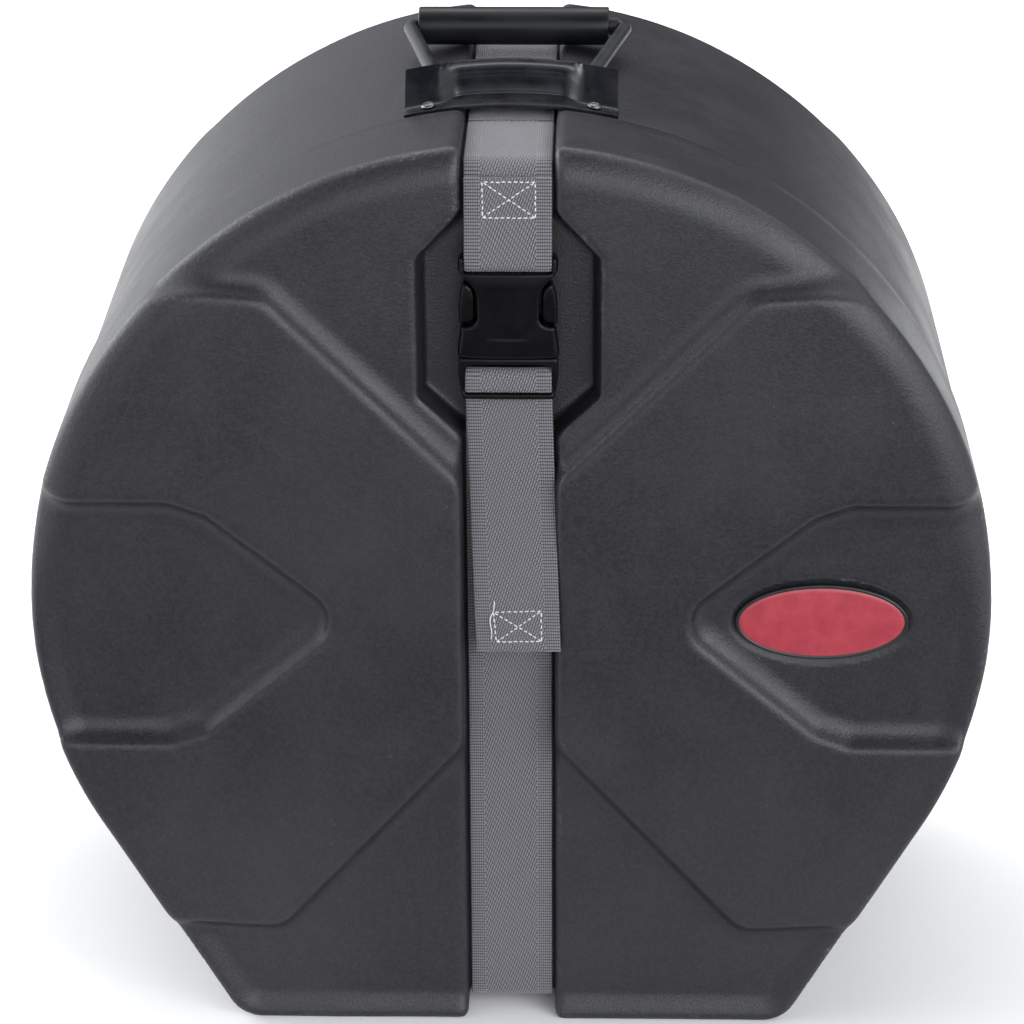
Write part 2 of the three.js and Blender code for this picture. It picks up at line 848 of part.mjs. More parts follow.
// Stamped hood: a plate whose section changes from a low leaning end to a raised and curled middle
function rearArchZ(x) {
  return archCentreHeight + Math.sqrt(rearArchRadius ** 2 - x ** 2);
}

const hoodEndShares = [
  [0, 0], [0.29, 0], [0.37, 0.05], [0.43, 0.2], [0.49, 0.42], [0.55, 0.63], [0.6, 0.8], [0.64, 0.95],
];
const hoodMiddleShares = [
  [0, 0], [0.5, 0], [0.56, 0.05], [0.59, 0.3], [0.61, 0.57], [0.67, 0.8], [0.8, 0.93], [0.97, 1],
];

function hoodSection(x) {
  const away = THREE.MathUtils.smoothstep(Math.abs(x), hoodRaisedHalf, hoodRaisedHalf + hoodBlend);
  const foot = rearArchZ(x) + seatGap + hoodPlate / 2;
  const middle = hoodMiddleShares.map(([reachShare, heightShare], i) => {
    const [endReachShare, endHeightShare] = hoodEndShares[i];
    const reach = THREE.MathUtils.lerp(reachShare, endReachShare, away) * hoodReach;
    const height = THREE.MathUtils.lerp(heightShare, endHeightShare, away) * hoodHeight;
    return v2(hoodFrontY + reach, foot + height);
  });
  const normals = middle.map((point, i) => {
    const before = middle[Math.max(i - 1, 0)];
    const after = middle[Math.min(i + 1, middle.length - 1)];
    const along = after.clone().sub(before).normalize();
    return v2(-along.y, along.x);
  });
  const under = middle.map((p, i) => p.clone().addScaledVector(normals[i], -hoodPlate / 2));
  const over = middle.map((p, i) => p.clone().addScaledVector(normals[i], hoodPlate / 2));
  return [...under, ...over.reverse()];
}

function handleHood() {
  const stations = [];
  const hoodSteps = 20;
  for (let i = 0; i <= hoodSteps; i++) {
    const x = -hoodHalfLength + (2 * hoodHalfLength * i) / hoodSteps;
    stations.push({ outline: hoodSection(x), x });
  }
  let hood = loftAlongX(stations);
  for (const side of [-1, 1]) {
    hood = hood.subtract(screwHole(side, screwDiameter + screwHoleClearance * 2));
  }
  return hood;
}
addPart("handle_hood", handleHood(), finish.steel);

// Saddle that holds the handle's pivot under the hood
const bailPivotY = hoodFrontY + bailPivotSetBack;
const bailPivotZ = rearArchZ(0) + bailPivotRise;

function pivotSaddle() {
  const boreRadius = bailWire / 2 + seatGap;
  const outerRadius = boreRadius + saddleWall;
  const pivot = v2(bailPivotY, bailPivotZ);
  const outer = turn(pivot, outerRadius, Math.PI - saddleLip, 2 * Math.PI + saddleLip, 16);
  const inner = turn(pivot, boreRadius, Math.PI - saddleLip, 2 * Math.PI + saddleLip, 16);
  const clip = [...outer, ...inner.reverse()];
  const ring = loftAlongX([
    { outline: clip, x: -saddleHalfLength },
    { outline: clip, x: saddleHalfLength },
  ]);
  const footStations = [];
  const footSteps = 8;
  for (let i = 0; i <= footSteps; i++) {
    const x = -saddleHalfLength + (2 * saddleHalfLength * i) / footSteps;
    const foot = rearArchZ(x) + seatGap;
    footStations.push({
      outline: [
        v2(bailPivotY - outerRadius, foot),
        v2(bailPivotY + outerRadius, foot),
        v2(bailPivotY + outerRadius, bailPivotZ),
        v2(bailPivotY - outerRadius, bailPivotZ),
      ],
      x,
    });
  }
  const block = loftAlongX(footStations);
  const bore = new THREE.CylinderGeometry(boreRadius, boreRadius, caseWidth, 32);
  return block
    .subtract(solid(bore.rotateZ(Math.PI / 2).translate(0, bailPivotY, bailPivotZ)))
    .add(ring);
}
addPart("pivot_saddle", pivotSaddle(), finish.steel);

// Screws through the hood and the shell, each with a washer and a nut inside
function screw(side) {
  const head = screwHeadDiameter / 2;
  const shank = screwDiameter / 2;
  const profile = [
    [0, -screwLength],
    [shank, -screwLength],
    [shank, 0],
    [head, 0],
    [head, screwHeadHeight * screwRimShare],
    [head * screwCrownShare, screwHeadHeight],
    [0, screwHeadHeight],
  ].map(([x, y]) => new THREE.Vector2(x, y));
  const geometry = new THREE.LatheGeometry(profile, 20);
  return solid(alongArch(geometry, side, hoodPlate + seatGap * 2));
}

function ringAt(side, outerRadius, boreRadius, thickness, height, sides) {
  const outer = new THREE.CylinderGeometry(outerRadius, outerRadius, thickness, sides);
  const bore = new THREE.CylinderGeometry(boreRadius, boreRadius, thickness * 2, 20);
  return solid(alongArch(outer, side, height)).subtract(solid(alongArch(bore, side, height)));
}

const boltBore = screwDiameter / 2 + screwHoleClearance;
for (const [side, label] of [[-1, "left"], [1, "right"]]) {
  const washerHeight = -wall - seatGap - washerThickness / 2;
  const nutTop = washerHeight - washerThickness / 2 - seatGap;
  const nutRadius = nutAcrossFlats / Math.sqrt(3);
  addPart("hood_screw_" + label, screw(side), finish.bright);
  addPart(
    "hood_washer_" + label,
    ringAt(side, washerDiameter / 2, boltBore, washerThickness, washerHeight, 24),
    finish.bright,
  );
  addPart(
    "hood_nut_" + label,
    ringAt(side, nutRadius, boltBore, nutHeight, nutTop - nutHeight / 2, 6),
    finish.bright,
  );
}

// Carrying handle: one bent wire, with a tube and a rubber grip on its far side
const gripContactZ = rearArchZ(channelWidth / 2);
const gripZ = gripContactZ + gripDiameter / 2 + seatGap;
const gripY = bailPivotY + bailReach;

function bailPoint(x, share) {
  return new THREE.Vector3(
    x,
    THREE.MathUtils.lerp(bailPivotY, gripY, share),
    THREE.MathUtils.lerp(bailPivotZ, gripZ, share),
  );
}

function bendBetween(before, corner, after, radius, steps = 5) {
  const back = before.clone().sub(corner);
  const ahead = after.clone().sub(corner);
  const reach = radius / Math.tan(back.angleTo(ahead) / 2);
  const start = corner.clone().addScaledVector(back.normalize(), reach);
  const end = corner.clone().addScaledVector(ahead.normalize(), reach);
  return new THREE.QuadraticBezierCurve3(start, corner, end).getPoints(steps);
}

// A round wire along points that lie in one plane
function planarWire(points, radius, normal, sides = 12) {
  const rings = points.map((point, i) => {
    const before = points[Math.max(i - 1, 0)];
    const after = points[Math.min(i + 1, points.length - 1)];
    const along = after.clone().sub(before).normalize();
    const beside = normal.clone().cross(along).normalize();
    const ring = [];
    for (let k = 0; k < sides; k++) {
      const angle = (2 * Math.PI * k) / sides;
      ring.push(
        point
          .clone()
          .addScaledVector(normal, radius * Math.cos(angle))
          .addScaledVector(beside, radius * Math.sin(angle)),
      );
    }
    return ring;
  });
  const ends = [0, points.length - 1].map((i) => {
    const other = i === 0 ? points[1] : points[i - 1];
    const along = i === 0 ? other.clone().sub(points[0]) : points[i].clone().sub(other);
    return { centre: points[i], beside: normal.clone().cross(along.normalize()).normalize() };
  });
  return loft(rings, (point, end) => {
    const from = point.clone().sub(ends[end].centre);
    return new THREE.Vector2(from.dot(normal), from.dot(ends[end].beside));
  });
}

function handleBail() {
  const corners = [
    bailPoint(seatGap / 2, 1),
    bailPoint(bailGripHalf, 1),
    bailPoint(bailPivotHalf, 0),
    bailPoint(-bailPivotHalf, 0),
    bailPoint(-bailGripHalf, 1),
    bailPoint(-seatGap / 2, 1),
  ];
  const points = [corners[0]];
  for (let i = 1; i + 1 < corners.length; i++) {
    points.push(...bendBetween(corners[i - 1], corners[i], corners[i + 1], bailBend));
  }
  points.push(corners.at(-1));
  const lie = bailPoint(0, 1).sub(bailPoint(0, 0)).normalize();
  const normal = new THREE.Vector3(1, 0, 0).cross(lie);
  return planarWire(points, bailWire / 2, normal);
}
addPart("handle_bail", handleBail(), finish.steel);

function tubeOnGrip(diameter, bore, length, shift, steps) {
  const edge = gripEdge;
  const profile = [
    [bore / 2, -length / 2],
    [diameter / 2 - edge, -length / 2],
    [diameter / 2, -length / 2 + edge],
    [diameter / 2, length / 2 - edge],
    [diameter / 2 - edge, length / 2],
    [bore / 2, length / 2],
    [bore / 2, -length / 2],
  ].map(([x, y]) => new THREE.Vector2(x, y));
  const geometry = new THREE.LatheGeometry(profile, steps);
  return solid(geometry.rotateZ(Math.PI / 2).translate(shift, gripY, gripZ));
}
addPart(
  "grip_sleeve",
  tubeOnGrip(sleeveDiameter, sleeveBore, sleeveLength, sleeveShift, 20),
  finish.buckle,
);
addPart("handle_grip", tubeOnGrip(gripDiameter, gripBore, gripLength, 0, 28), finish.rubber);

export default group;
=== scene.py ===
import math

import bpy
import numpy as np
from mathutils import Matrix, Vector
from mathutils.bvhtree import BVHTree


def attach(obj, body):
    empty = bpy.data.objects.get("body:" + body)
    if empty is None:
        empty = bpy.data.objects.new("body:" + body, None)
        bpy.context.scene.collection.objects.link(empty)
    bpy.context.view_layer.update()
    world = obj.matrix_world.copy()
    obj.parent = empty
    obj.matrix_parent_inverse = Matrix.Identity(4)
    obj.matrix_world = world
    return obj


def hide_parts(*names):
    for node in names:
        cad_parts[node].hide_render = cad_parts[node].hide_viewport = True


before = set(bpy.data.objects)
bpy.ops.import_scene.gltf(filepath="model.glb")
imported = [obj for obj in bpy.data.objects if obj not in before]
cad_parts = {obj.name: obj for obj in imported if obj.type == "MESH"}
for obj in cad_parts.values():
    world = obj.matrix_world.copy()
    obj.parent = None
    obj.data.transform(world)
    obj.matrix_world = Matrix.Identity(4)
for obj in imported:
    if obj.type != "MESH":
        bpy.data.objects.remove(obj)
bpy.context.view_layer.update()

# Round-topped moulded drum case. Lengths are metres; the front faces -Y and +Z is up.
MM = 0.001
TAU = 2 * math.pi
SIDES = ((-1, "left"), (1, "right"))


def mm(*values):
    """Lengths given in millimetres, in metres."""
    scaled = [value * MM for value in values]
    return scaled[0] if len(scaled) == 1 else scaled


# The case's outline
ARCH_RADIUS = mm(228.5)
ARCH_CENTRE = mm(225)
ARCH_TOP = ARCH_CENTRE + ARCH_RADIUS
REAR_SET_IN = mm(2)
SIDE_TAPER = math.radians(29.5)
BASE_CORNER = mm(18)
HALF_DEPTH = mm(136)
WALL = mm(4)
EDGE_LOW, EDGE_MORE, EDGE_LESS = mm(4.5, 10, 4)
EDGE_RISE_Z = mm(120, 290)
EDGE_FALL_Z = mm(400, 450)
LID_EDGE = mm(2.2)
CROWN_WIDTH = mm(17)
CROWN_LOW, CROWN_MORE = mm(1.6, 6.0)
CROWN_POWER, CROWN_PAST = 2.2, 1.15
RELIEF_FADE = mm(15)
RELIEF_LEAST, RELIEF_LID_TOP = 0.35, 0.62
RELIEF_LID_Z = mm(200, 270)
LID_RIM_Y = mm(-63)
REAR_RIM_Y = mm(-62.7)
NECK_TIP_Y = mm(-82)
NECK_SET_IN = mm(4.4)
NECK_WALL = mm(3.6)
STEP_Y = mm(-59)

# Raised panels, pockets, channel, well and oval seat. Corners are across and up, in millimetres
PANEL_RISE = mm(8)
PANEL_DRAFT = 0.17
PANEL_CORNER = mm(15)
PANEL_CORNERS = [
    (20.5, 159.0), (112.99, 55.01), (258.5, 63.99), (258.5, 396.0), (112.49, 383.98), (20.5, 291.01),
]
POCKET_DRAFT = 0.25
POCKET_CORNER = mm(17)
POCKET_CREASE = mm(2.5)
POCKET_CORNERS = [
    (75.8, 222.0), (145.4, 162.5), (163.0, 156.0), (288.5, 156.0), (288.5, 283.0), (159.8, 283.0), (142.1, 276.6),
]
LIP_FILLET = mm(3.8)
FOOT_FILLET = mm(11)
POCKET_LIP = mm(3.4)
POCKET_FILLET = mm(12)
POCKET_BLEND = mm(6)
CHANNEL_HALF = mm(21.5)
CHANNEL_FRONT = mm(14)
CHANNEL_TOP = mm(9)
CHANNEL_BEND = mm(9)
CHANNEL_LIP = mm(5)
CHANNEL_FOOT = mm(1.6)
WELL_DEPTH = mm(23)
WELL_DRAFT = 0.2
WELL_PLAN_DEPTH = mm(15.5)  # where the drafted wall passes the well's corners
WELL_CORNER = mm(4)
WELL_LIP = mm(2.6)
WELL_CORNERS = [
    (20.5, 314), (41, 334), (41, 401), (20.5, 423), (-20.5, 423), (-41, 401), (-41, 334), (-20.5, 314),
]
PLATE_X, PLATE_Z = mm(148, 219.99)
PLATE_LENGTH, PLATE_HEIGHT = mm(82, 39)
SEAT_HALF = mm(42.9, 21.4)
SEAT_DEPTH = mm(9.4)
SEAT_LIP = mm(1.4)

# Meshing
LID_PITCH = mm(1.8)
REAR_PITCH = mm(2.4)
INNER_PITCH = mm(4.5)
FACE_REACH = mm(27)
INNER_REACH = mm(32)
SWEEP_STEP = mm(8)
WAVE_HEIGHT = mm(0.22)
GRADIENT_STEP = mm(0.2)
NET_ROUNDS, NET_SHARE = 3, 0.6  # rounds of settling a net, and the share of its pitch that a point may move in one
DRAW_ROUNDS, DRAW_MOST = 5, mm(3)
FRONT_MARGIN, SIDE_MARGIN = mm(3, 4)
WEAR_REACH = mm(2.5)


# ---------------------------------------------------------------- fields
def smooth_max(a, b, width):
    near = np.maximum(width - np.abs(a - b), 0) / width
    return np.maximum(a, b) + near * near * width / 4


def smooth_min(a, b, width):
    return -smooth_max(-a, -b, width)


def rounded_max(a, b, radius):
    """The greater of two distances, with a true arc of the radius where they meet."""
    a, b = a + radius, b + radius
    return np.minimum(np.maximum(a, b), 0) + np.hypot(np.maximum(a, 0), np.maximum(b, 0)) - radius


def polygon_distance(corners, x, z):
    """Distance to a polygon, negative inside."""
    shape = np.broadcast(x, z).shape
    least = np.full(shape, np.inf)
    sign = np.ones(shape)
    before = corners[-1]
    for corner in corners:
        along = (before[0] - corner[0], before[1] - corner[1])
        from_x, from_z = x - corner[0], z - corner[1]
        share = np.clip((from_x * along[0] + from_z * along[1]) / (along[0] ** 2 + along[1] ** 2), 0, 1)
        least = np.minimum(least, (from_x - along[0] * share) ** 2 + (from_z - along[1] * share) ** 2)
        above, below = z >= corner[1], z < before[1]
        left = along[0] * from_z > along[1] * from_x
        sign = np.where((above & below & left) | (~above & ~below & ~left), -sign, sign)
        before = corner
    return sign * np.sqrt(least)


def inset_corners(corners, distance):
    """A convex counterclockwise polygon moved inwards."""
    moved = []
    count = len(corners)
    for i in range(count):
        before, here, after = (Vector(corners[(i + k) % count]) for k in (-1, 0, 1))
        n1 = Vector((before.y - here.y, here.x - before.x)).normalized()
        n2 = Vector((here.y - after.y, after.x - here.x)).normalized()
        shift = distance / (1 + n1.dot(n2))
        moved.append((here.x + (n1.x + n2.x) * shift, here.y + (n1.y + n2.y) * shift))
    return moved


def rounded_polygon(corners, radius):
    """Distance to a polygon with rounded corners; its corners are in millimetres."""
    inner = inset_corners([mm(*corner) for corner in corners], radius)
    return lambda x, z: polygon_distance(inner, x, z) - radius


panel_shape = rounded_polygon(PANEL_CORNERS, PANEL_CORNER)
pocket_shape = rounded_polygon(POCKET_CORNERS, POCKET_CORNER)
well_shape = rounded_polygon(WELL_CORNERS, WELL_CORNER)


def arch_distance(x, z, set_in):
    """Distance to the case's outline: a round arch, tapering sides and a flat base."""
    radius = ARCH_RADIUS - set_in
    cos_t, sin_t = math.cos(SIDE_TAPER), math.sin(SIDE_TAPER)
    x = np.abs(x)
    corner_x = (radius - BASE_CORNER - (ARCH_CENTRE - BASE_CORNER) * sin_t) / cos_t
    up = z - ARCH_CENTRE
    side = x * cos_t - up * sin_t - radius
    past_arch = -x * sin_t - up * cos_t
    corner_up = z - BASE_CORNER
    past_side = -(x - corner_x) * sin_t - corner_up * cos_t
    corner = np.hypot(x - corner_x, corner_up) - BASE_CORNER
    lower = np.where((past_side >= 0) & (x >= corner_x), corner, np.maximum(side, -z))
    return np.where(past_arch <= 0, np.maximum(np.hypot(x, up) - radius, -z), lower)


WAVES = [
    (0.30, (55, 20, 40), 0.4), (0.25, (-38, 12, 62), 1.9), (0.2, (90, 30, -25), 3.3),
    (0.15, (-70, 45, -85), 5.1), (0.1, (20, -80, 120), 2.6),
]


def waviness(x, y, z):
    """The slow unevenness of a large moulding."""
    total = 0
    for share, (kx, ky, kz), phase in WAVES:
        total = total + share * np.sin(kx * x + ky * y + kz * z + phase)
    return total * WAVE_HEIGHT


def ease(value, low, high):
    share = np.clip((value - low) / (high - low), 0, 1)
    return share * share * (3 - 2 * share)


def relief(x, depth, z, outline, least):
    """The face with its raised panels and pockets, which fade towards the outline."""
    across = np.abs(x)
    rise = PANEL_RISE * (least + (1 - least) * ease(-outline, 0, RELIEF_FADE))
    panel = panel_shape(across, z) - PANEL_DRAFT * depth
    pocket = pocket_shape(across, z) + POCKET_DRAFT * (depth - POCKET_CREASE)
    in_pocket = ease(-pocket - panel, -POCKET_BLEND, POCKET_BLEND)
    edge = smooth_max(panel, -pocket, POCKET_LIP)
    raised = smooth_max(-depth, edge, LIP_FILLET + (POCKET_LIP - LIP_FILLET) * in_pocket)
    return smooth_min(rise - depth, raised, FOOT_FILLET + (POCKET_FILLET - FOOT_FILLET) * in_pocket)


def channel_cut(x, y, z):
    """The strap's channel, which runs all the way round: positive inside it."""
    middle_z = ARCH_TOP / 2
    half_y, half_z = HALF_DEPTH - CHANNEL_FRONT, middle_z - CHANNEL_TOP
    core = rounded_max(np.abs(y) - half_y, np.abs(z - middle_z) - half_z, CHANNEL_BEND)
    return smooth_min(CHANNEL_HALF - np.abs(x), core, CHANNEL_FOOT)


def channel_notch(x, z, half, depth):
    """The channel's section at the top and at the base, for what lies inside the shells."""
    return np.minimum(half - np.abs(x), np.maximum(z - ARCH_TOP + depth, depth - z))


def moulded(x, y, z, front, set_in):
    """Half of the case: +1 at the front for the lid, whose face is crowned at its edge, -1 for the rear."""
    depth = HALF_DEPTH + front * y
    outline = arch_distance(x, z, set_in)
    risen = ease(z, *EDGE_RISE_Z)
    if front > 0:
        least = RELIEF_LEAST + RELIEF_LID_TOP * ease(z, *RELIEF_LID_Z)
        near = np.clip(1 + outline / CROWN_WIDTH, 0, CROWN_PAST)
        face = relief(x, depth, z, outline, least) + (CROWN_LOW + CROWN_MORE * risen) * near ** CROWN_POWER
        form = rounded_max(face, outline, LID_EDGE)
    else:
        edge = EDGE_LOW + EDGE_MORE * risen - EDGE_LESS * ease(z, *EDGE_FALL_Z)
        form = rounded_max(relief(x, depth, z, outline, RELIEF_LEAST), outline, edge)
    return smooth_max(form, channel_cut(x, y, z), CHANNEL_LIP)


def lid_field(x, y, z):
    depth = y + HALF_DEPTH
    form = moulded(x, y, z, 1, 0)
    well = well_shape(x, z) + WELL_DRAFT * (depth - WELL_PLAN_DEPTH)
    form = smooth_max(form, smooth_min(-well, WELL_DEPTH - depth, WELL_LIP), WELL_LIP)
    across, up = (x - PLATE_X) / SEAT_HALF[0], (z - PLATE_Z) / SEAT_HALF[1]
    k0 = np.hypot(across, up)
    k1 = np.hypot(across / SEAT_HALF[0], up / SEAT_HALF[1]) + 1e-9
    seat = k0 * (k0 - 1) / k1
    form = smooth_max(form, np.minimum(-seat, SEAT_DEPTH - depth), SEAT_LIP)
    return form + waviness(x, y, z)


def rear_field(x, y, z):
    return moulded(x, y, z, -1, REAR_SET_IN) + waviness(x, y, z)


def neck_field(x, y, z):
    """The section of the lid, which the rear half's neck follows."""
    slot = channel_notch(x, z, CHANNEL_HALF, CHANNEL_TOP)
    return smooth_max(arch_distance(x, z, 0), slot, CHANNEL_LIP) + waviness(x, y, z)


# ---------------------------------------------------------------- meshes from fields
def gradient(field, points):
    slopes = np.empty_like(points)
    for axis in range(3):
        step = np.zeros(3)
        step[axis] = GRADIENT_STEP
        ahead, behind = points + step, points - step
        slopes[:, axis] = (field(*ahead.T) - field(*behind.T)) / (2 * GRADIENT_STEP)
    return slopes


def settle(field, points, rounds, most, flat=False):
    """Moves points on to the surface where the field is zero."""
    points = np.array(points, float)
    for _ in range(rounds):
        slope = gradient(field, points)
        if flat:
            slope[:, 1] = 0
        size = np.maximum((slope ** 2).sum(1), 1e-4)
        step = slope * (field(*points.T) / size)[:, None]
        length = np.linalg.norm(step, axis=1)
        points -= step * np.minimum(1, most / np.maximum(length, 1e-12))[:, None]
    return points


def surface_net(field, low, high, pitch):
    """Points and quads of the surface where the field is zero, by the surface net of a grid."""
    axes = [low[i] + pitch * np.arange(int(round((high[i] - low[i]) / pitch)) + 1) for i in range(3)]
    grid = np.meshgrid(*axes, indexing="ij", sparse=True)
    shape = tuple(len(axis) for axis in axes)
    value = np.broadcast_to(field(*grid), shape)
    inside = value < 0
    count = np.zeros(tuple(n - 1 for n in shape), np.int8)
    corners = [(i, j, k) for i in (0, 1) for j in (0, 1) for k in (0, 1)]
    for i, j, k in corners:
        count += inside[i:shape[0] - 1 + i, j:shape[1] - 1 + j, k:shape[2] - 1 + k]
    active = (count > 0) & (count < 8)
    cells = np.array(np.nonzero(active))
    index = np.full(count.shape, -1)
    index[tuple(cells)] = np.arange(cells.shape[1])
    total, hits = np.zeros((cells.shape[1], 3)), np.zeros(cells.shape[1])
    for axis in range(3):
        for start in corners:
            if start[axis]:
                continue
            end = list(start)
            end[axis] = 1
            va = value[tuple(cells + np.array(start)[:, None])]
            vb = value[tuple(cells + np.array(end)[:, None])]
            crossing = (va < 0) != (vb < 0)
            share = np.where(crossing, va / np.where(crossing, va - vb, 1), 0)
            place = np.tile(np.array(start, float), (len(share), 1))
            place[:, axis] = share
            total += place * crossing[:, None]
            hits += crossing
    points = (cells.T + total / hits[:, None]) * pitch + np.array(low)
    quads = []
    for a in range(3):
        b, c = (a + 1) % 3, (a + 2) % 3
        view = np.moveaxis(inside, (a, b, c), (0, 1, 2))
        cell = np.moveaxis(index, (a, b, c), (0, 1, 2))
        start, end = view[:-1, 1:-1, 1:-1], view[1:, 1:-1, 1:-1]
        ia, ib, ic = np.nonzero(start != end)
        ring = [cell[ia, ib, ic], cell[ia, ib + 1, ic], cell[ia, ib + 1, ic + 1], cell[ia, ib, ic + 1]]
        quad = np.stack(ring, 1)
        outward = start[ia, ib, ic]
        quad[~outward] = quad[~outward][:, ::-1]
        quads.append(quad)
    quads = np.concatenate(quads)
    return settle(field, points, NET_ROUNDS, pitch * NET_SHARE), quads


def boundary_loop(quads):
    """The longest open edge of a net, in the order in which its faces run."""
    ends = {}
    edges = set()
    for quad in quads.tolist():
        edges.update(zip(quad, quad[1:] + quad[:1]))
    for a, b in edges:
        if (b, a) not in edges:
            ends[a] = b
    loops = []
    while ends:
        start = next(iter(ends))
        loop = [start]
        following = ends.pop(start)
        while following != start and following in ends:
            loop.append(following)
            following = ends.pop(following)
        loops.append(loop)
    return max(loops, key=len)


class Skin:
    """Points and faces that grow ring by ring."""

    def __init__(self):
        self.points, self.faces, self.count = [], [], 0

    def add(self, points, faces=()):
        first = self.count
        self.points.append(np.asarray(points, float))
        self.count += len(points)
        self.faces += [[i + first for i in face] for face in faces]
        return list(range(first, self.count))

    def at(self, ring):
        return np.concatenate(self.points)[ring]

    def bridge(self, ring, following):
        count = len(ring)
        for i in range(count):
            j = (i + 1) % count
            self.faces.append([ring[j], ring[i], following[i], following[j]])

    def zip(self, ring, loop):
        """Joins two rings of unlike counts that run opposite ways."""
        places = np.concatenate(self.points)
        other = loop[::-1]
        nearest = int(np.argmin(((places[other] - places[ring[0]]) ** 2).sum(1)))
        other = other[nearest:] + other[:nearest]
        ring, other = ring + ring[:1], other + other[:1]
        i = j = 0
        while i < len(ring) - 1 or j < len(other) - 1:
            on_ring = j == len(other) - 1
            if not on_ring and i < len(ring) - 1:
                ahead = ((places[ring[i + 1]] - places[other[j]]) ** 2).sum()
                on_ring = ahead < ((places[ring[i]] - places[other[j + 1]]) ** 2).sum()
            if on_ring:
                self.faces.append([ring[i + 1], ring[i], other[j]])
                i += 1
            else:
                self.faces.append([ring[i], other[j], other[j + 1]])
                j += 1

    def build(self, name):
        return make_object(name, np.concatenate(self.points), self.faces)


def make_object(name, points, faces, smooth=True):
    mesh = bpy.data.meshes.new(name)
    mesh.from_pydata(np.asarray(points).tolist(), [], [list(face) for face in faces])
    mesh.validate()
    if smooth:
        mesh.polygons.foreach_set("use_smooth", [True] * len(mesh.polygons))
    piece = bpy.data.objects.new(name, mesh)
    bpy.context.scene.collection.objects.link(piece)
    return piece


def point_attribute(piece, name, values, kind="FLOAT"):
    """Stores a value or a vector for each point, which a material can read."""
    layer = piece.data.attributes.new(name, kind, "POINT")
    key = "value" if kind == "FLOAT" else "vector"
    layer.data.foreach_set(key, np.asarray(values, np.float32).ravel())


def vertices(piece):
    places = np.empty(len(piece.data.vertices) * 3)
    piece.data.vertices.foreach_get("co", places)
    return places.reshape(-1, 3)


def mark_wear(piece, field):
    """Stores how far each point stands on an outer edge, from the field's bend."""
    places = vertices(piece)
    bend = -6 * field(*places.T)
    for axis in range(3):
        step = np.zeros(3)
        step[axis] = WEAR_REACH
        bend = bend + field(*(places + step).T) + field(*(places - step).T)
    point_attribute(piece, "wear", np.clip(bend / WEAR_REACH, -1, 1))


def shell_half(name, field, front, rim_rings, pitch):
    """One moulded half: its face as a net, its sides drawn back to the rim, and its hollow."""
    side = HALF_DEPTH + FRONT_MARGIN
    width, top = ARCH_RADIUS + SIDE_MARGIN, ARCH_TOP + SIDE_MARGIN

    def face_box(reach):
        y = sorted((-front * side, -front * (HALF_DEPTH - reach)))
        return (-width, y[0], -SIDE_MARGIN), (width, y[1], top)

    skin = Skin()
    outer_points, outer_quads = surface_net(field, *face_box(FACE_REACH), pitch)
    skin.add(outer_points, outer_quads.tolist())
    ring = boundary_loop(outer_quads)

    def draw_to(shape, y, inset):
        places = skin.at(ring).copy()
        places[:, 1] = y
        return settle(lambda a, b, c: shape(a, b, c) + inset, places, DRAW_ROUNDS, DRAW_MOST, flat=True)

    start_y = float(skin.at(ring)[:, 1].mean())
    end_y = rim_rings[0][1]
    rows = max(int(abs(end_y - start_y) / SWEEP_STEP), 1)
    stations = [(field, start_y + (end_y - start_y) * (row + 1) / rows, 0.0) for row in range(rows)]
    for shape, y, inset in stations + rim_rings[1:]:
        following = skin.add(draw_to(shape, y, inset))
        skin.bridge(ring, following)
        ring = following

    def hollow(a, b, c):
        return -(field(a, b, c) + WALL)

    inner_points, inner_quads = surface_net(hollow, *face_box(INNER_REACH), INNER_PITCH)
    first = skin.add(inner_points, inner_quads.tolist())[0]
    loop = [i + first for i in boundary_loop(inner_quads)]
    skin.zip(ring, loop)
    piece = skin.build(name)
    mark_wear(piece, field)
    return piece


def net_piece(name, field, low, high, pitch):
    points, quads = surface_net(field, low, high, pitch)
    return make_object(name, points, quads.tolist())


lid_rim = [
    (lid_field, LID_RIM_Y - mm(1.2), 0.0),
    (lid_field, LID_RIM_Y - mm(0.35), mm(0.25)),
    (lid_field, LID_RIM_Y, mm(1.1)),
    (lid_field, LID_RIM_Y, WALL - mm(0.8)),
    (lid_field, LID_RIM_Y - mm(0.8), WALL),
    (lid_field, LID_RIM_Y - mm(20), WALL),
]
lid_skin = shell_half("lid_skin", lid_field, 1, lid_rim, LID_PITCH)

rear_rim = [
    (rear_field, REAR_RIM_Y + mm(1.2), 0.0),
    (rear_field, REAR_RIM_Y + mm(0.35), mm(0.25)),
    (rear_field, REAR_RIM_Y, mm(1.0)),
    (neck_field, REAR_RIM_Y, NECK_SET_IN - mm(0.4)),
    (neck_field, REAR_RIM_Y - mm(0.4), NECK_SET_IN),
    (neck_field, NECK_TIP_Y + mm(1.2), NECK_SET_IN),
    (neck_field, NECK_TIP_Y + mm(0.3), NECK_SET_IN + mm(0.4)),
    (neck_field, NECK_TIP_Y, NECK_SET_IN + mm(1.2)),
    (neck_field, NECK_TIP_Y, NECK_SET_IN + NECK_WALL - mm(0.8)),
    (neck_field, NECK_TIP_Y + mm(0.8), NECK_SET_IN + NECK_WALL),
    (neck_field, STEP_Y - mm(0.5), NECK_SET_IN + NECK_WALL),
    (rear_field, STEP_Y, WALL),
    (rear_field, STEP_Y + mm(40), WALL),
    (rear_field, STEP_Y + mm(100), WALL),
]
body_skin = shell_half("body_skin", rear_field, -1, rear_rim, REAR_PITCH)


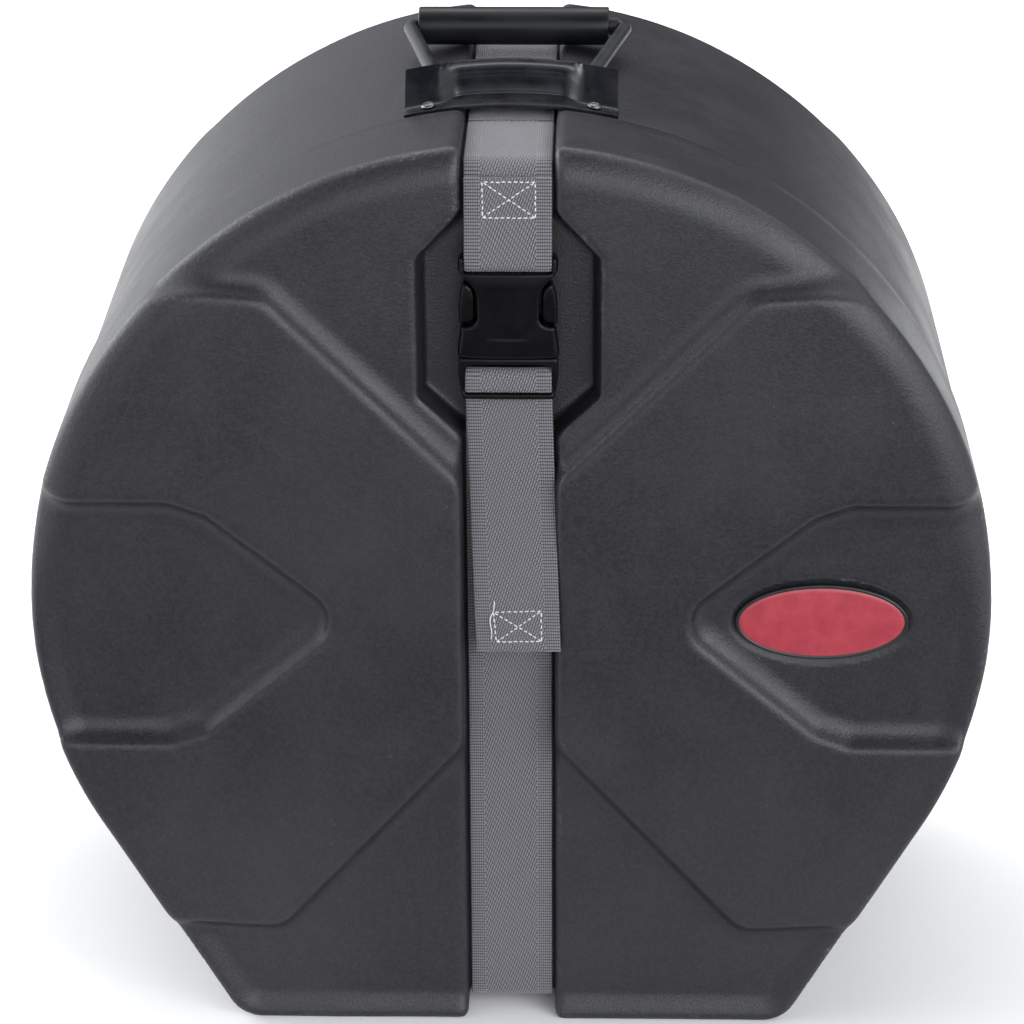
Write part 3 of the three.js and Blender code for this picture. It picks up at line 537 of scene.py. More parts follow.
# ---------------------------------------------------------------- rings and wires
def ring_faces(rows, columns, caps=True):
    """Quads between rings of points, and a cap at each end."""
    faces = []
    for a in range(0, (rows - 1) * columns, columns):
        for c in range(columns):
            n = (c + 1) % columns
            faces.append([a + c, a + n, a + columns + n, a + columns + c])
    if caps:
        faces.append(list(range(columns))[::-1])
        faces.append([(rows - 1) * columns + c for c in range(columns)])
    return faces


WIRE_TIP = [(0.35, 0.85), (0.6, 0.45)]  # a wire's rounded end: how far on, and how thick, in radii


def tube(points, radius, sides, normal=None):
    """A round wire along points, with rounded ends."""
    places = [Vector(p) for p in points]
    radii = [radius] * len(places)
    for end, step in ((0, 1), (-1, -1)):
        tip = places[end]
        along = (places[end] - places[end + step]).normalized()
        extra = [tip + along * radius * far for far, _ in WIRE_TIP]
        sizes = [radius * thick for _, thick in WIRE_TIP]
        if end == 0:
            places, radii = extra[::-1] + places, sizes[::-1] + radii
        else:
            places, radii = places + extra, radii + sizes
    circle = [(math.cos(TAU * s / sides), math.sin(TAU * s / sides)) for s in range(sides)]
    ring_points = []
    up = Vector(normal) if normal else Vector((0.13, 0.21, 0.97))
    for i, place in enumerate(places):
        along = (places[min(i + 1, len(places) - 1)] - places[max(i - 1, 0)]).normalized()
        side = along.cross(up).normalized()
        over = side.cross(along).normalized()
        if not normal:
            up = over
        ring_points += [place + (side * cos + over * sin) * radii[i] for cos, sin in circle]
    return ring_points, ring_faces(len(places), sides)


# ---------------------------------------------------------------- webbing
STRAP_HALF = mm(20)
HALF_STRAP = mm(2) / 2
PICK = mm(1.55)
STEPS_PER_PICK = 3
SELVEDGE = mm(0.22)
ACROSS_STEPS = 8
BEND_STEPS, WRAP_STEPS = 10, 14

# Where the middle of the webbing lies: forwards or back and up, in millimetres, as in the runs below
LAY_FRONT, LAY_REAR, LAY_TOP, LAY_BASE = -123.3, 123.3, 445.8, 7.7
SECOND_LAY = -125.6
SEAM_FRONT, SEAM_REAR = -63.3, -62.3


def bend(before, corner, after, radius, steps=BEND_STEPS):
    """A corner of a path, rounded with a parabola."""
    back, ahead = (before - corner).normalized(), (after - corner).normalized()
    reach = radius / math.tan(back.angle(ahead) / 2)
    start, end = corner + back * reach, corner + ahead * reach
    shares = [i / steps for i in range(steps + 1)]
    return [start * (1 - t) ** 2 + corner * 2 * t * (1 - t) + end * t * t for t in shares]


def wrap(centre, radius, turn):
    """A path round a bar, from behind it."""
    angles = [turn * i / WRAP_STEPS for i in range(WRAP_STEPS + 1)]
    return [centre + Vector((math.cos(a), math.sin(a))) * radius for a in angles]


def run(*places):
    """Points of a run, from pairs in millimetres."""
    return [Vector(mm(*place)) for place in places]


def resample(points, step):
    """The same path at even steps, through smoothed corners."""
    places = np.array([tuple(p) for p in points])
    for _ in range(2):
        cut = np.empty((2 * len(places) - 2, places.shape[1]))
        cut[0::2] = places[:-1] * 0.75 + places[1:] * 0.25
        cut[1::2] = places[:-1] * 0.25 + places[1:] * 0.75
        places = np.concatenate([places[:1], cut, places[-1:]])
    length = np.concatenate([[0], np.cumsum(np.linalg.norm(np.diff(places, axis=0), axis=1))])
    count = max(int(length[-1] / step), 2)
    along = np.linspace(0, length[-1], count + 1)
    return np.stack([np.interp(along, length, places[:, i]) for i in range(places.shape[1])], 1), along


def strap_section():
    """The webbing's section, from edge to edge over the face and back under it."""
    flat = STRAP_HALF - HALF_STRAP * 0.8
    face = [(-flat + 2 * flat * i / ACROSS_STEPS, HALF_STRAP) for i in range(ACROSS_STEPS + 1)]
    right = [(flat + HALF_STRAP * 0.8 * math.sin(a), HALF_STRAP * math.cos(a))
             for a in (math.pi * k / 4 for k in (1, 2, 3))]
    return face + right + [(-x, -y) for x, y in face + right]


def webbing(name, path, shape=None):
    """A ribbon along a Y-Z path. shape(along, across) may move its points across and forwards."""
    places, along = resample(path, PICK / STEPS_PER_PICK)
    tangent = np.gradient(places, axis=0)
    tangent /= np.linalg.norm(tangent, axis=1)[:, None]
    across, lift = np.array(strap_section()).T
    pinch = 1 - np.clip(1 - np.minimum(along, along[-1] - along) / mm(1), 0, 1) * 0.35
    scallop = SELVEDGE * np.cos(TAU * along / PICK)
    along, pinch, scallop = along[:, None], pinch[:, None], scallop[:, None]
    x = across + np.sign(across) * scallop * (np.abs(across) > STRAP_HALF - HALF_STRAP)
    y = places[:, :1] - tangent[:, 1:] * lift * pinch
    z = places[:, 1:] + tangent[:, :1] * lift * pinch
    lay = np.stack(np.broadcast_arrays(along, across, lift), 2)
    if shape:
        shift_x, shift_y, shift_z = shape(along, x)
        x, y, z = x + shift_x, y + shift_y, z + shift_z
    piece = make_object(name, np.stack([x, y, z], 2).reshape(-1, 3), ring_faces(*x.shape))
    point_attribute(piece, "lay", lay, "FLOAT_VECTOR")
    return piece


# The run under the hood, down the back and under the base
rear_corners = run((SEAM_REAR, LAY_TOP), (LAY_REAR, LAY_TOP), (LAY_REAR, LAY_BASE), (SEAM_REAR, LAY_BASE))
rear_path = rear_corners[:1]
for k in (1, 2):
    rear_path += bend(*rear_corners[k - 1:k + 2], CHANNEL_BEND)
strap_rear = webbing("webbing_rear", rear_path + rear_corners[3:])

# Over the lid, round the socket's bar and back up on itself
SOCKET_BAR = Vector(mm(-124.5, 399.75))
SOCKET_WRAP = mm(4.05)
upper_path = run((SEAM_FRONT, LAY_TOP))
upper_path += bend(*run((SEAM_FRONT, LAY_TOP), (LAY_FRONT, LAY_TOP), (LAY_FRONT, 423)), CHANNEL_BEND)
upper_path += run((LAY_FRONT, 425), (-120.45, 404.5))
upper_path += wrap(SOCKET_BAR, SOCKET_WRAP, -math.pi)
upper_path += run((-128.55, 404.5), (-125.9, 422), (SECOND_LAY, 428), (SECOND_LAY, 440))
strap_upper = webbing("webbing_upper", upper_path)

# Up from the base, over the plug's bar and down again as the loose tail
PLUG_BAR_TOP = Vector(mm(-126.4, 344.0))
PLUG_WRAP = mm(3.1)
TAIL_END = 207.9
TAIL_LENGTH = mm(131)
TAIL_DRIFT = mm(4.4)
TAIL_FLOAT = mm(11.3)
TAIL_ROLL = 0.06
lower_path = run((SEAM_FRONT, LAY_BASE))
lower_path += bend(*run((SEAM_FRONT, LAY_BASE), (LAY_FRONT, LAY_BASE), (LAY_FRONT, 314)), CHANNEL_BEND)
lower_path += wrap(PLUG_BAR_TOP, PLUG_WRAP, math.pi)
lower_path += run(
    (-129.5, 340.3), (-129.2, 338.3), (-127.6, 337.3), (-125.75, 336.8), (SECOND_LAY, 335.0), (SECOND_LAY, 320),
    (SECOND_LAY, TAIL_END))


def tail_shape(along, x):
    """The loose tail floats forwards and drifts to the right over its length."""
    share = np.clip((along - (along[-1] - TAIL_LENGTH)) / TAIL_LENGTH, 0, 1)
    float_share = share * share * (3 - 2 * share) * 0.8 + share * 0.2
    roll = share * TAIL_ROLL
    return TAIL_DRIFT * share ** 1.1, -TAIL_FLOAT * float_share - roll * x, roll * 0.5 * x


strap_lower = webbing("webbing_lower", lower_path, shape=tail_shape)


# ---------------------------------------------------------------- stitches
SEED = 11
THREAD = mm(0.32)
THREAD_SIDES, THREAD_RINGS = 6, 7
STITCH_PITCH, STITCH_FILL, STITCH_JITTER = mm(2.6), 0.72, mm(0.09)
FORWARDS = Vector((0, -1, 0))


def stitch(start, end):
    """A short thread that rises from one end, over, and down at the other."""
    points = []
    along = (end - start).normalized()
    side = along.cross(FORWARDS).normalized()
    up = side.cross(along).normalized()
    for r in range(THREAD_RINGS):
        t = r / (THREAD_RINGS - 1)
        bulge = math.sin(math.pi * t)
        centre = start.lerp(end, t) + up * (bulge * 0.9 - 0.45) * THREAD
        size = THREAD * (0.35 + 0.65 * bulge ** 0.5)
        for s in range(THREAD_SIDES):
            angle = TAU * s / THREAD_SIDES
            points.append(centre + side * math.cos(angle) * size + up * math.sin(angle) * size)
    return points, ring_faces(THREAD_RINGS, THREAD_SIDES, caps=False)


def front_finder(piece):
    """Finds the front of a piece at a place across and up."""
    tree = BVHTree.FromPolygons([v.co for v in piece.data.vertices], [p.vertices for p in piece.data.polygons])

    def front(x, z):
        hit = tree.ray_cast(Vector((x, -0.3, z)), Vector((0, 1, 0)))
        return Vector((x, hit[0].y, z)) if hit[0] else None
    return front


def stitch_box(name, webbing_piece, corners, loose=None):
    """A box with a cross, sewn in a bright thread, and perhaps a loose end; places are in millimetres."""
    front = front_finder(webbing_piece)
    rng = np.random.default_rng(SEED)
    sewn = Skin()
    a, b, c, d = run(*corners)
    for start, end in ((a, b), (b, c), (c, d), (d, a), (a, c), (b, d)):
        count = max(int((end - start).length / STITCH_PITCH), 1)
        for i in range(count):
            p0, p1 = start.lerp(end, i / count), start.lerp(end, (i + STITCH_FILL) / count)
            jitter = rng.normal(0, STITCH_JITTER, 4)
            q0, q1 = front(p0.x + jitter[0], p0.y + jitter[1]), front(p1.x + jitter[2], p1.y + jitter[3])
            if q0 is not None and q1 is not None:
                sewn.add(*stitch(q0, q1))
    if loose:
        trail = resample(run(*loose), mm(1))[0]
        lifts = np.sin(np.linspace(0, math.pi, len(trail))) * mm(0.9) + mm(0.25)
        spots = [Vector((x, front(x, z).y - lift, z)) for (x, z), lift in zip(trail, lifts)]
        sewn.add(*tube(spots, THREAD * 0.8, THREAD_SIDES))
    return sewn.build(name)


upper_stitches = stitch_box(
    "upper_stitches", strap_upper, [(-11.5, 421.2), (12.5, 421.2), (12.5, 438), (-11.5, 438)])
tail_stitches = stitch_box(
    "tail_stitches", strap_lower, [(-6.2, 212.7), (15.3, 213.8), (15.0, 229.2), (-7.6, 227.8)],
    loose=[(-7.0, 233.4), (-7.4, 228.6), (-9.2, 225.7), (-9.0, 221.8), (-8.2, 218.2), (-8.6, 214.4)])


# ---------------------------------------------------------------- buckle
BUCKLE_Y = mm(-124.5)
SOCKET_LOW, SOCKET_HIGH = mm(353.3, 402.9)
EAR_HALF, WAIST_HALF, SKIRT_HALF = mm(22.9, 22.1, 23.4)
BUCKLE_PITCH = mm(0.55)
WINDOW_CORNERS = [
    (14.2, 373.0), (15.6, 370.6), (18.5, 369.4), (32, 369.2), (32, 404.5), (18.6, 391.5), (15.6, 388.2),
    (14.2, 384.0),
]
window_shape = rounded_polygon(WINDOW_CORNERS, mm(2.6))


def block(x, y, z, low, high, radius):
    """A rounded box between two corners."""
    centre = [(a + b) / 2 for a, b in zip(low, high)]
    half = [(b - a) / 2 for a, b in zip(low, high)]
    first = rounded_max(np.abs(x - centre[0]) - half[0], np.abs(z - centre[2]) - half[2], radius)
    return rounded_max(first, np.abs(y - centre[1]) - half[1], radius)


def inner_block(x, y, z, sides, half_depth, ends, radius):
    """A box that is even about the buckle's middle depth."""
    low = (sides[0], BUCKLE_Y - half_depth, ends[0])
    high = (sides[1], BUCKLE_Y + half_depth, ends[1])
    return block(x, y, z, low, high, radius)


def socket_field(x, y, z):
    """The socket: ears round the strap's slot, a window at each side and a flared skirt."""
    across = np.abs(x)
    skirt = WAIST_HALF + (SKIRT_HALF - WAIST_HALF) * ease(-z, -mm(369), -mm(356))
    half = skirt + (EAR_HALF - skirt) * ease(z, mm(386), mm(394))
    middle_z, half_z = (SOCKET_LOW + SOCKET_HIGH) / 2, (SOCKET_HIGH - SOCKET_LOW) / 2
    sag = mm(0.5) * (across / SKIRT_HALF) ** 4
    plan = rounded_max(across - half, np.maximum(z - middle_z, middle_z - z + sag) - half_z, mm(2.4))
    thick = mm(6.6) - mm(1.0) * (x / SKIRT_HALF) ** 2 - mm(0.6) * ease(z, mm(389), mm(402))
    form = smooth_max(plan, np.abs(y - BUCKLE_Y) - thick, mm(3.0))
    form = smooth_max(form, -window_shape(across, z), mm(1.5))
    slot = np.minimum(mm(20.2) - across, z - mm(395.2))
    form = smooth_max(form, slot, mm(1.1))
    bar = np.maximum(np.hypot(y - BUCKLE_Y, z - mm(399.75)) - mm(2.75), across - mm(21.5))
    form = smooth_min(form, bar, mm(0.8))
    mouth = inner_block(x, y, z, mm(-19.5, 19.5), mm(4.4), mm(340, 391.4), mm(0.6))
    form = smooth_max(form, -mouth, mm(0.7))
    inlay = block(x, y, z, mm(-10.3, -140, 363), mm(9.7, -130.9, 388.6), mm(0.8))
    return smooth_max(form, -inlay, mm(0.25))


def plug_field(x, y, z):
    """The plug's frame, with the bars that hold the webbing and the tongue between the prongs."""
    across = np.abs(x)
    crown = mm(0.7) * (x / SKIRT_HALF) ** 2
    half = mm(23.1) - mm(1.7) * ease(-z, -mm(347), -mm(333))
    plan = rounded_max(across - half, np.abs(z - mm(343.95)) - mm(10.25), mm(2.2))
    outer = smooth_max(plan, np.abs(y - mm(-124.55)) - mm(6.05) + crown, mm(1.8))
    hole = block(x, y, z, mm(-20.3, -150, 336.4), mm(20.3, -100, 351), mm(1.6))
    form = smooth_max(outer, -hole, mm(1.2))
    bar = block(x, y, z, mm(-21.3, -128.2, 339.3), mm(21.3, -124.6, 345.8), mm(1.2))
    foot = block(x, y, z, mm(-20.8, -130.2, 333.9), mm(20.8, -126.95, 336.2), mm(0.9))
    tongue = inner_block(x, y, z, mm(-3.5, 3.5), mm(3), mm(353, 383), mm(0.8))
    for more in (bar, foot, tongue):
        form = smooth_min(form, more, mm(0.8))
    return form


PAD_CORNERS = [
    (15.1, 374.0), (16.6, 371.3), (19.0, 370.3), (22.5, 370.3), (22.7, 378.0), (22.0, 385.0), (20.6, 389.6),
    (18.5, 389.6), (16.3, 387.3), (15.1, 383.5),
]
pad_shape = rounded_polygon(PAD_CORNERS, mm(0.9))


def prong_field(side):
    """A springy arm with the pad that fills the socket's window."""
    def field(x, y, z):
        depth = np.abs(y - BUCKLE_Y)
        pad = smooth_max(pad_shape(side * x, z), depth - mm(4.0), mm(2.2))
        arm = inner_block(side * x, y, z, mm(15.5, 18.9), mm(3), mm(354.5, 374), mm(0.8))
        return smooth_min(pad, arm, mm(1.2))
    return field


socket = net_piece(
    "socket_body", socket_field, mm(-25, -132.5, 351.5), mm(25, -116.5, 405), BUCKLE_PITCH)
plug = net_piece("plug_body", plug_field, mm(-25, -132.5, 332), mm(25, -117, 385), BUCKLE_PITCH)
prongs = []
for side, label in SIDES:
    left, right = sorted((side * 14, side * 24))
    prongs.append(net_piece(
        "prong_" + label, prong_field(side), mm(left, -129.6, 353), mm(right, -119.4, 390.5), mm(0.5)))


# ---------------------------------------------------------------- oval plate
# The plate's rings: how far in from its edge and how far forwards, in millimetres. The first of them are its rim
PLATE_RINGS = [
    (0, -126.95), (0, -128.9), (0.35, -129.25), (0.9, -129.35), (1.45, -129.2), (1.7, -128.95), (1.85, -128.95),
    (2.2, -129.12), (4, -129.22), (8, -129.34), (13, -129.42), (17, -129.46),
]
PLATE_RIM_RINGS = 6
PLATE_STEPS = 144


def oval_plate():
    """A domed plate with a raised rim."""
    points = []
    for inset, y in PLATE_RINGS:
        a, b = PLATE_LENGTH / 2 - mm(inset), PLATE_HEIGHT / 2 - mm(inset)
        for i in range(PLATE_STEPS):
            angle = TAU * i / PLATE_STEPS
            points.append((PLATE_X + a * math.cos(angle), mm(y), PLATE_Z + b * math.sin(angle)))
    return make_object("plate_face", points, ring_faces(len(PLATE_RINGS), PLATE_STEPS))


plate = oval_plate()


# ---------------------------------------------------------------- handle
REAR_RADIUS = ARCH_RADIUS - REAR_SET_IN
HOOD_FRONT_Y = mm(-59)
HOOD_REACH, HOOD_HEIGHT, HOOD_PLATE, HOOD_GAP = mm(33, 17, 1.8, 0.3)
# Its section at the ends and in the middle, from the front, in shares of its reach and its height
HOOD_END = [
    (0, 0), (0.2, 0), (0.27, 0.03), (0.31, 0.09), (0.35, 0.18), (0.39, 0.29), (0.43, 0.4), (0.47, 0.51),
    (0.51, 0.62), (0.55, 0.73), (0.59, 0.83), (0.62, 0.9), (0.64, 0.95),
]
HOOD_MIDDLE = [
    (0, 0), (0.49, 0), (0.54, 0.06), (0.57, 0.17), (0.61, 0.3), (0.66, 0.42), (0.7, 0.5), (0.74, 0.62),
    (0.79, 0.69), (0.86, 0.715), (0.93, 0.72), (0.965, 0.75), (0.975, 0.8),
]
HOOD_HALF = mm(50)
HOOD_RAISED_FRONT, HOOD_RAISED_REAR = mm(22.5, 30.5)
HOOD_BLEND_FRONT, HOOD_BLEND_REAR = mm(15, 3)
HOOD_COLUMNS, HOOD_STEPS = 110, 5


def catmull(points, steps):
    """A smooth curve through points."""
    places = np.array(points, float)
    padded = np.concatenate([2 * places[:1] - places[1:2], places, 2 * places[-1:] - places[-2:-1]])
    out = []
    for i in range(len(places) - 1):
        p0, p1, p2, p3 = padded[i:i + 4]
        for s in range(steps):
            t = s / steps
            out.append(0.5 * (2 * p1 + (p2 - p0) * t + (2 * p0 - 5 * p1 + 4 * p2 - p3) * t * t
                              + (3 * p1 - p0 - 3 * p2 + p3) * t ** 3))
    out.append(places[-1])
    return np.array(out)


def hood():
    """The stamped plate: its ends lie low, and its middle is raised with soft dents beside it."""
    end, middle = catmull(HOOD_END, HOOD_STEPS), catmull(HOOD_MIDDLE, HOOD_STEPS)
    rows = len(end)
    # Towards the rear edge the raised middle is wider and the step beside it is sharper
    back = np.clip((np.arange(rows) / (rows - 1) - 0.45) / 0.5, 0, 1)[:, None] ** 1.5
    raised = HOOD_RAISED_FRONT + (HOOD_RAISED_REAR - HOOD_RAISED_FRONT) * back
    blend = HOOD_BLEND_FRONT + (HOOD_BLEND_REAR - HOOD_BLEND_FRONT) * back
    points = []
    for c in range(HOOD_COLUMNS + 1):
        x = -HOOD_HALF + 2 * HOOD_HALF * c / HOOD_COLUMNS
        share = np.clip((abs(x) - raised) / blend, 0, 1)
        away = share ** 3 * (share * (share * 6 - 15) + 10)
        foot = ARCH_CENTRE + math.sqrt(REAR_RADIUS ** 2 - x ** 2) + HOOD_GAP + HOOD_PLATE / 2
        for reach, height in middle + (end - middle) * away:
            points.append((x, HOOD_FRONT_Y + reach * HOOD_REACH, foot + height * HOOD_HEIGHT))
    corners = [c * rows + r for c in range(HOOD_COLUMNS) for r in range(rows - 1)]
    piece = make_object("hood_plate", points, [[a, a + rows, a + rows + 1, a + 1] for a in corners])
    plate_depth = piece.modifiers.new("thickness", "SOLIDIFY")
    plate_depth.thickness = HOOD_PLATE
    plate_depth.offset = 0
    edge = piece.modifiers.new("edge", "BEVEL")
    edge.width = mm(0.55)
    edge.segments = 3
    edge.limit_method = "ANGLE"
    edge.angle_limit = math.radians(50)
    return piece


hood_piece = hood()

PIVOT = Vector((0, mm(-32), mm(457)))
GRIP = Vector((0, mm(50), mm(459.777)))
BAIL_WIRE = mm(7.4)
BAIL_PIVOT_X = mm(36)
BAIL_LEFT_X, BAIL_RIGHT_X = mm(-52.9, 54.7)
BAIL_BEND, BAIL_BEND_STEPS, BAIL_SIDES = mm(6.5), 14, 28
GRIP_X, SLEEVE_X = mm(-1.1, 2.2)
GRIP_COLUMNS = 14


def bail():
    """The bent wire: from the middle of the grip round to it again, with both ends inside the grip."""
    corners = [Vector((x, end.y, end.z)) for x, end in (
        (mm(0.2), GRIP), (BAIL_RIGHT_X, GRIP), (BAIL_PIVOT_X, PIVOT), (-BAIL_PIVOT_X, PIVOT), (BAIL_LEFT_X, GRIP),
        (mm(-0.2), GRIP))]
    path = corners[:1]
    for i in range(1, len(corners) - 1):
        path += bend(*corners[i - 1:i + 2], BAIL_BEND, BAIL_BEND_STEPS)
    path += corners[-1:]
    points, faces = tube(path, BAIL_WIRE / 2, BAIL_SIDES, Vector((1, 0, 0)).cross((GRIP - PIVOT).normalized()))
    return make_object("bail_wire", points, faces)


bail_piece = bail()


def grip_tube(name, outer, bore, half, edge, shift, steps):
    """A tube with rounded ends, turned round the grip's axis."""
    rim = [(outer - edge + edge * math.sin(a), -half + edge - edge * math.cos(a))
           for a in (math.pi / 2 * k / 4 for k in range(5))]
    body = [(outer, -half + edge + (2 * half - 2 * edge) * k / GRIP_COLUMNS) for k in range(1, GRIP_COLUMNS)]
    profile = [(bore, -half)] + rim + body + [(radius, -place) for radius, place in rim[::-1]] + [(bore, half)]
    points, faces = [], []
    for radius, place in profile:
        for s in range(steps):
            angle = TAU * s / steps
            points.append((shift + place, GRIP.y + radius * math.cos(angle), GRIP.z + radius * math.sin(angle)))
    for r in range(len(profile)):
        n = (r + 1) % len(profile)
        for s in range(steps):
            t = (s + 1) % steps
            faces.append([r * steps + s, n * steps + s, n * steps + t, r * steps + t])
    return make_object(name, points, faces)


def saddle_field(x, y, z):
    """The shoe under the hood that holds the wire: a block with a leaning front."""
    form = block(x, y, z, mm(-27, -37.5, 450.2), mm(27, -26.5, 461.6), mm(1.5))
    lean = (mm(-37.5) - y) * 0.8 + (z - mm(457.5)) * 0.6
    form = smooth_max(form, lean, mm(1.5))
    bore = BAIL_WIRE / 2 + mm(0.2) - np.hypot(y - PIVOT.y, z - PIVOT.z)
    return smooth_max(form, bore, mm(0.4))


saddle_piece = net_piece("saddle_shoe", saddle_field, mm(-28.5, -39, 449), mm(28.5, -25, 463), mm(0.8))
grip_piece = grip_tube("grip_roll", *mm(9.35, 4.9, 46.9, 0.8), GRIP_X, 64)
sleeve_piece = grip_tube("grip_tube", *mm(4.5, 3.8, 48.2, 0.3), SLEEVE_X, 40)


# ---------------------------------------------------------------- screws
SCREW_X = mm(38.5)
SCREW_LEAN = math.asin(SCREW_X / REAR_RADIUS)
SCREW_Y = mm(-53.5)
SCREW_LIFT = mm(2.4)


def screw_field(x, y, z):
    """A pan head with a cross recess, on a shank along -Z."""
    radius = np.hypot(x, y)
    dome = np.hypot(radius, z + mm(4.6)) - mm(6.6)
    head = smooth_max(smooth_max(dome, radius - mm(3.7), mm(0.9)), -z, mm(0.3))
    arm = np.minimum(np.maximum(np.abs(x) - mm(0.5), np.abs(y) - mm(2.0)),
                     np.maximum(np.abs(y) - mm(0.5), np.abs(x) - mm(2.0)))
    recess = np.maximum(arm + (mm(2.0) - z) * 0.35, mm(0.7) - z)
    head = smooth_max(head, -recess, mm(0.3))
    thread = mm(0.12) * np.cos(TAU * (z / mm(0.8)))
    shank = np.maximum(np.maximum(radius - mm(2.25) + thread, z - mm(0.5)), -z - mm(15))
    return smooth_min(head, shank, mm(0.3))


screws = []
for side, label in SIDES:
    piece = net_piece("screw_" + label, screw_field, mm(-5, -5, -15.6), mm(5, 5, 3.4), mm(0.4))
    radius = REAR_RADIUS + SCREW_LIFT
    place = Vector((side * radius * math.sin(SCREW_LEAN), SCREW_Y, ARCH_CENTRE + radius * math.cos(SCREW_LEAN)))
    turn = Matrix.Rotation(side * SCREW_LEAN, 4, "Y") @ Matrix.Rotation(0.5 + side * 0.3, 4, "Z")
    piece.data.transform(Matrix.Translation(place) @ turn)
    screws.append(piece)


# ---------------------------------------------------------------- foam
FOAM_ROUND = mm(3)
FOAM_PITCH = mm(4.5)
FOAM_INSET = mm(4.9)
FOAM_SLOT = mm(26.4, 13.9)  # half its width, and its depth
DISC_RADIUS, BAY_RADIUS = mm(207.4, 208)
SCREW_HOLE = mm(10.3)


def foam_section(x, z, set_in):
    return smooth_max(arch_distance(x, z, set_in) + FOAM_INSET, channel_notch(x, z, *FOAM_SLOT), mm(4))


def foam_slab(x, y, z, section, middle, half):
    """A section between two flat faces, with rounded edges and a faint unevenness."""
    waves = mm(0.35) * np.sin(x * 95 + 1.3) * np.sin(z * 88 + 0.4) + mm(0.2) * np.sin(y * 120 + x * 60)
    return rounded_max(section, np.abs(y - middle) - half, FOAM_ROUND) + waves


def lid_foam(x, y, z):
    return foam_slab(x, y, z, foam_section(x, z, 0), *mm(-102.7, 5.6))


def rear_foam(x, y, z):
    disc = np.hypot(x, z - ARCH_CENTRE) - DISC_RADIUS
    return foam_slab(x, y, z, smooth_max(disc, foam_section(x, z, REAR_SET_IN), mm(4)), *mm(111.7, 5.7))


def lining(x, y, z):
    """The foam round the drum, of which the arch and the two wedges are parts."""
    bay = BAY_RADIUS - np.hypot(x, z - ARCH_CENTRE)
    return foam_slab(x, y, z, smooth_max(foam_section(x, z, REAR_SET_IN), bay, mm(3)), *mm(33.85, 83.5))


def arch_foam(x, y, z):
    hole = 1.0
    for side, _ in SIDES:
        off = x * math.cos(SCREW_LEAN) - (z - ARCH_CENTRE) * (side * math.sin(SCREW_LEAN))
        reach = np.where(z > ARCH_CENTRE, np.hypot(off, y - SCREW_Y), 1.0)
        hole = np.minimum(hole, reach - SCREW_HOLE)
    return smooth_max(smooth_max(lining(x, y, z), mm(120.7) - z, mm(3)), -hole, mm(3))


def wedge_foam(side):
    def field(x, y, z):
        return smooth_max(smooth_max(lining(x, y, z), z - mm(119.6), mm(3)), mm(26.6) - side * x, mm(3))
    return field


FOAMS = {
    "lid_foam": (lid_foam, (-229, -113, -2), (229, -92, 456)),
    "rear_foam": (rear_foam, (-229, 101, -2), (229, 122, 456)),
    "arch_foam": (arch_foam, (-229, -56, 112), (229, 124, 456)),
    "wedge_foam_left": (wedge_foam(-1), (-205, -56, -2), (-18, 124, 126)),
    "wedge_foam_right": (wedge_foam(1), (18, -56, -2), (205, 124, 126)),
}
foams = {
    name: net_piece(name, field, mm(*low), mm(*high), FOAM_PITCH)
    for name, (field, low, high) in FOAMS.items()
}


# ---------------------------------------------------------------- materials
def add_node(tree, kind, inputs, **settings):
    """A new node with its settings, and with values or wires at its inputs."""
    node = tree.nodes.new("ShaderNode" + kind)
    for key, value in settings.items():
        setattr(node, key, value)
    for key, value in inputs.items():
        if isinstance(value, Wire):
            tree.links.new(value.socket, node.inputs[key])
        else:
            node.inputs[key].default_value = value
    return node


class Wire:
    """An output in a node tree that can be worked with like a number."""

    def __init__(self, tree, socket):
        self.tree, self.socket = tree, socket

    def math(self, operation, *others):
        node = add_node(self.tree, "Math", dict(enumerate((self, *others))), operation=operation)
        return Wire(self.tree, node.outputs[0])

    def __add__(self, other):
        return self.math("ADD", other)

    def __sub__(self, other):
        return self.math("SUBTRACT", other)

    def __mul__(self, other):
        return self.math("MULTIPLY", other)

    def __truediv__(self, other):
        return self.math("DIVIDE", other)

    def ramp(self, low, high, start=0.0, end=1.0):
        """A smooth step from start, at low, to end, at high."""
        values = {"Value": self, "From Min": low, "From Max": high, "To Min": start, "To Max": end}
        node = add_node(self.tree, "MapRange", values, interpolation_type="SMOOTHSTEP")
        return Wire(self.tree, node.outputs["Result"])

    def weave(self, power):
        """A thread's rounded back, once in each unit, made blunter or sharper."""
        return (self.math("FRACT") * math.pi).math("SINE").math("POWER", power)


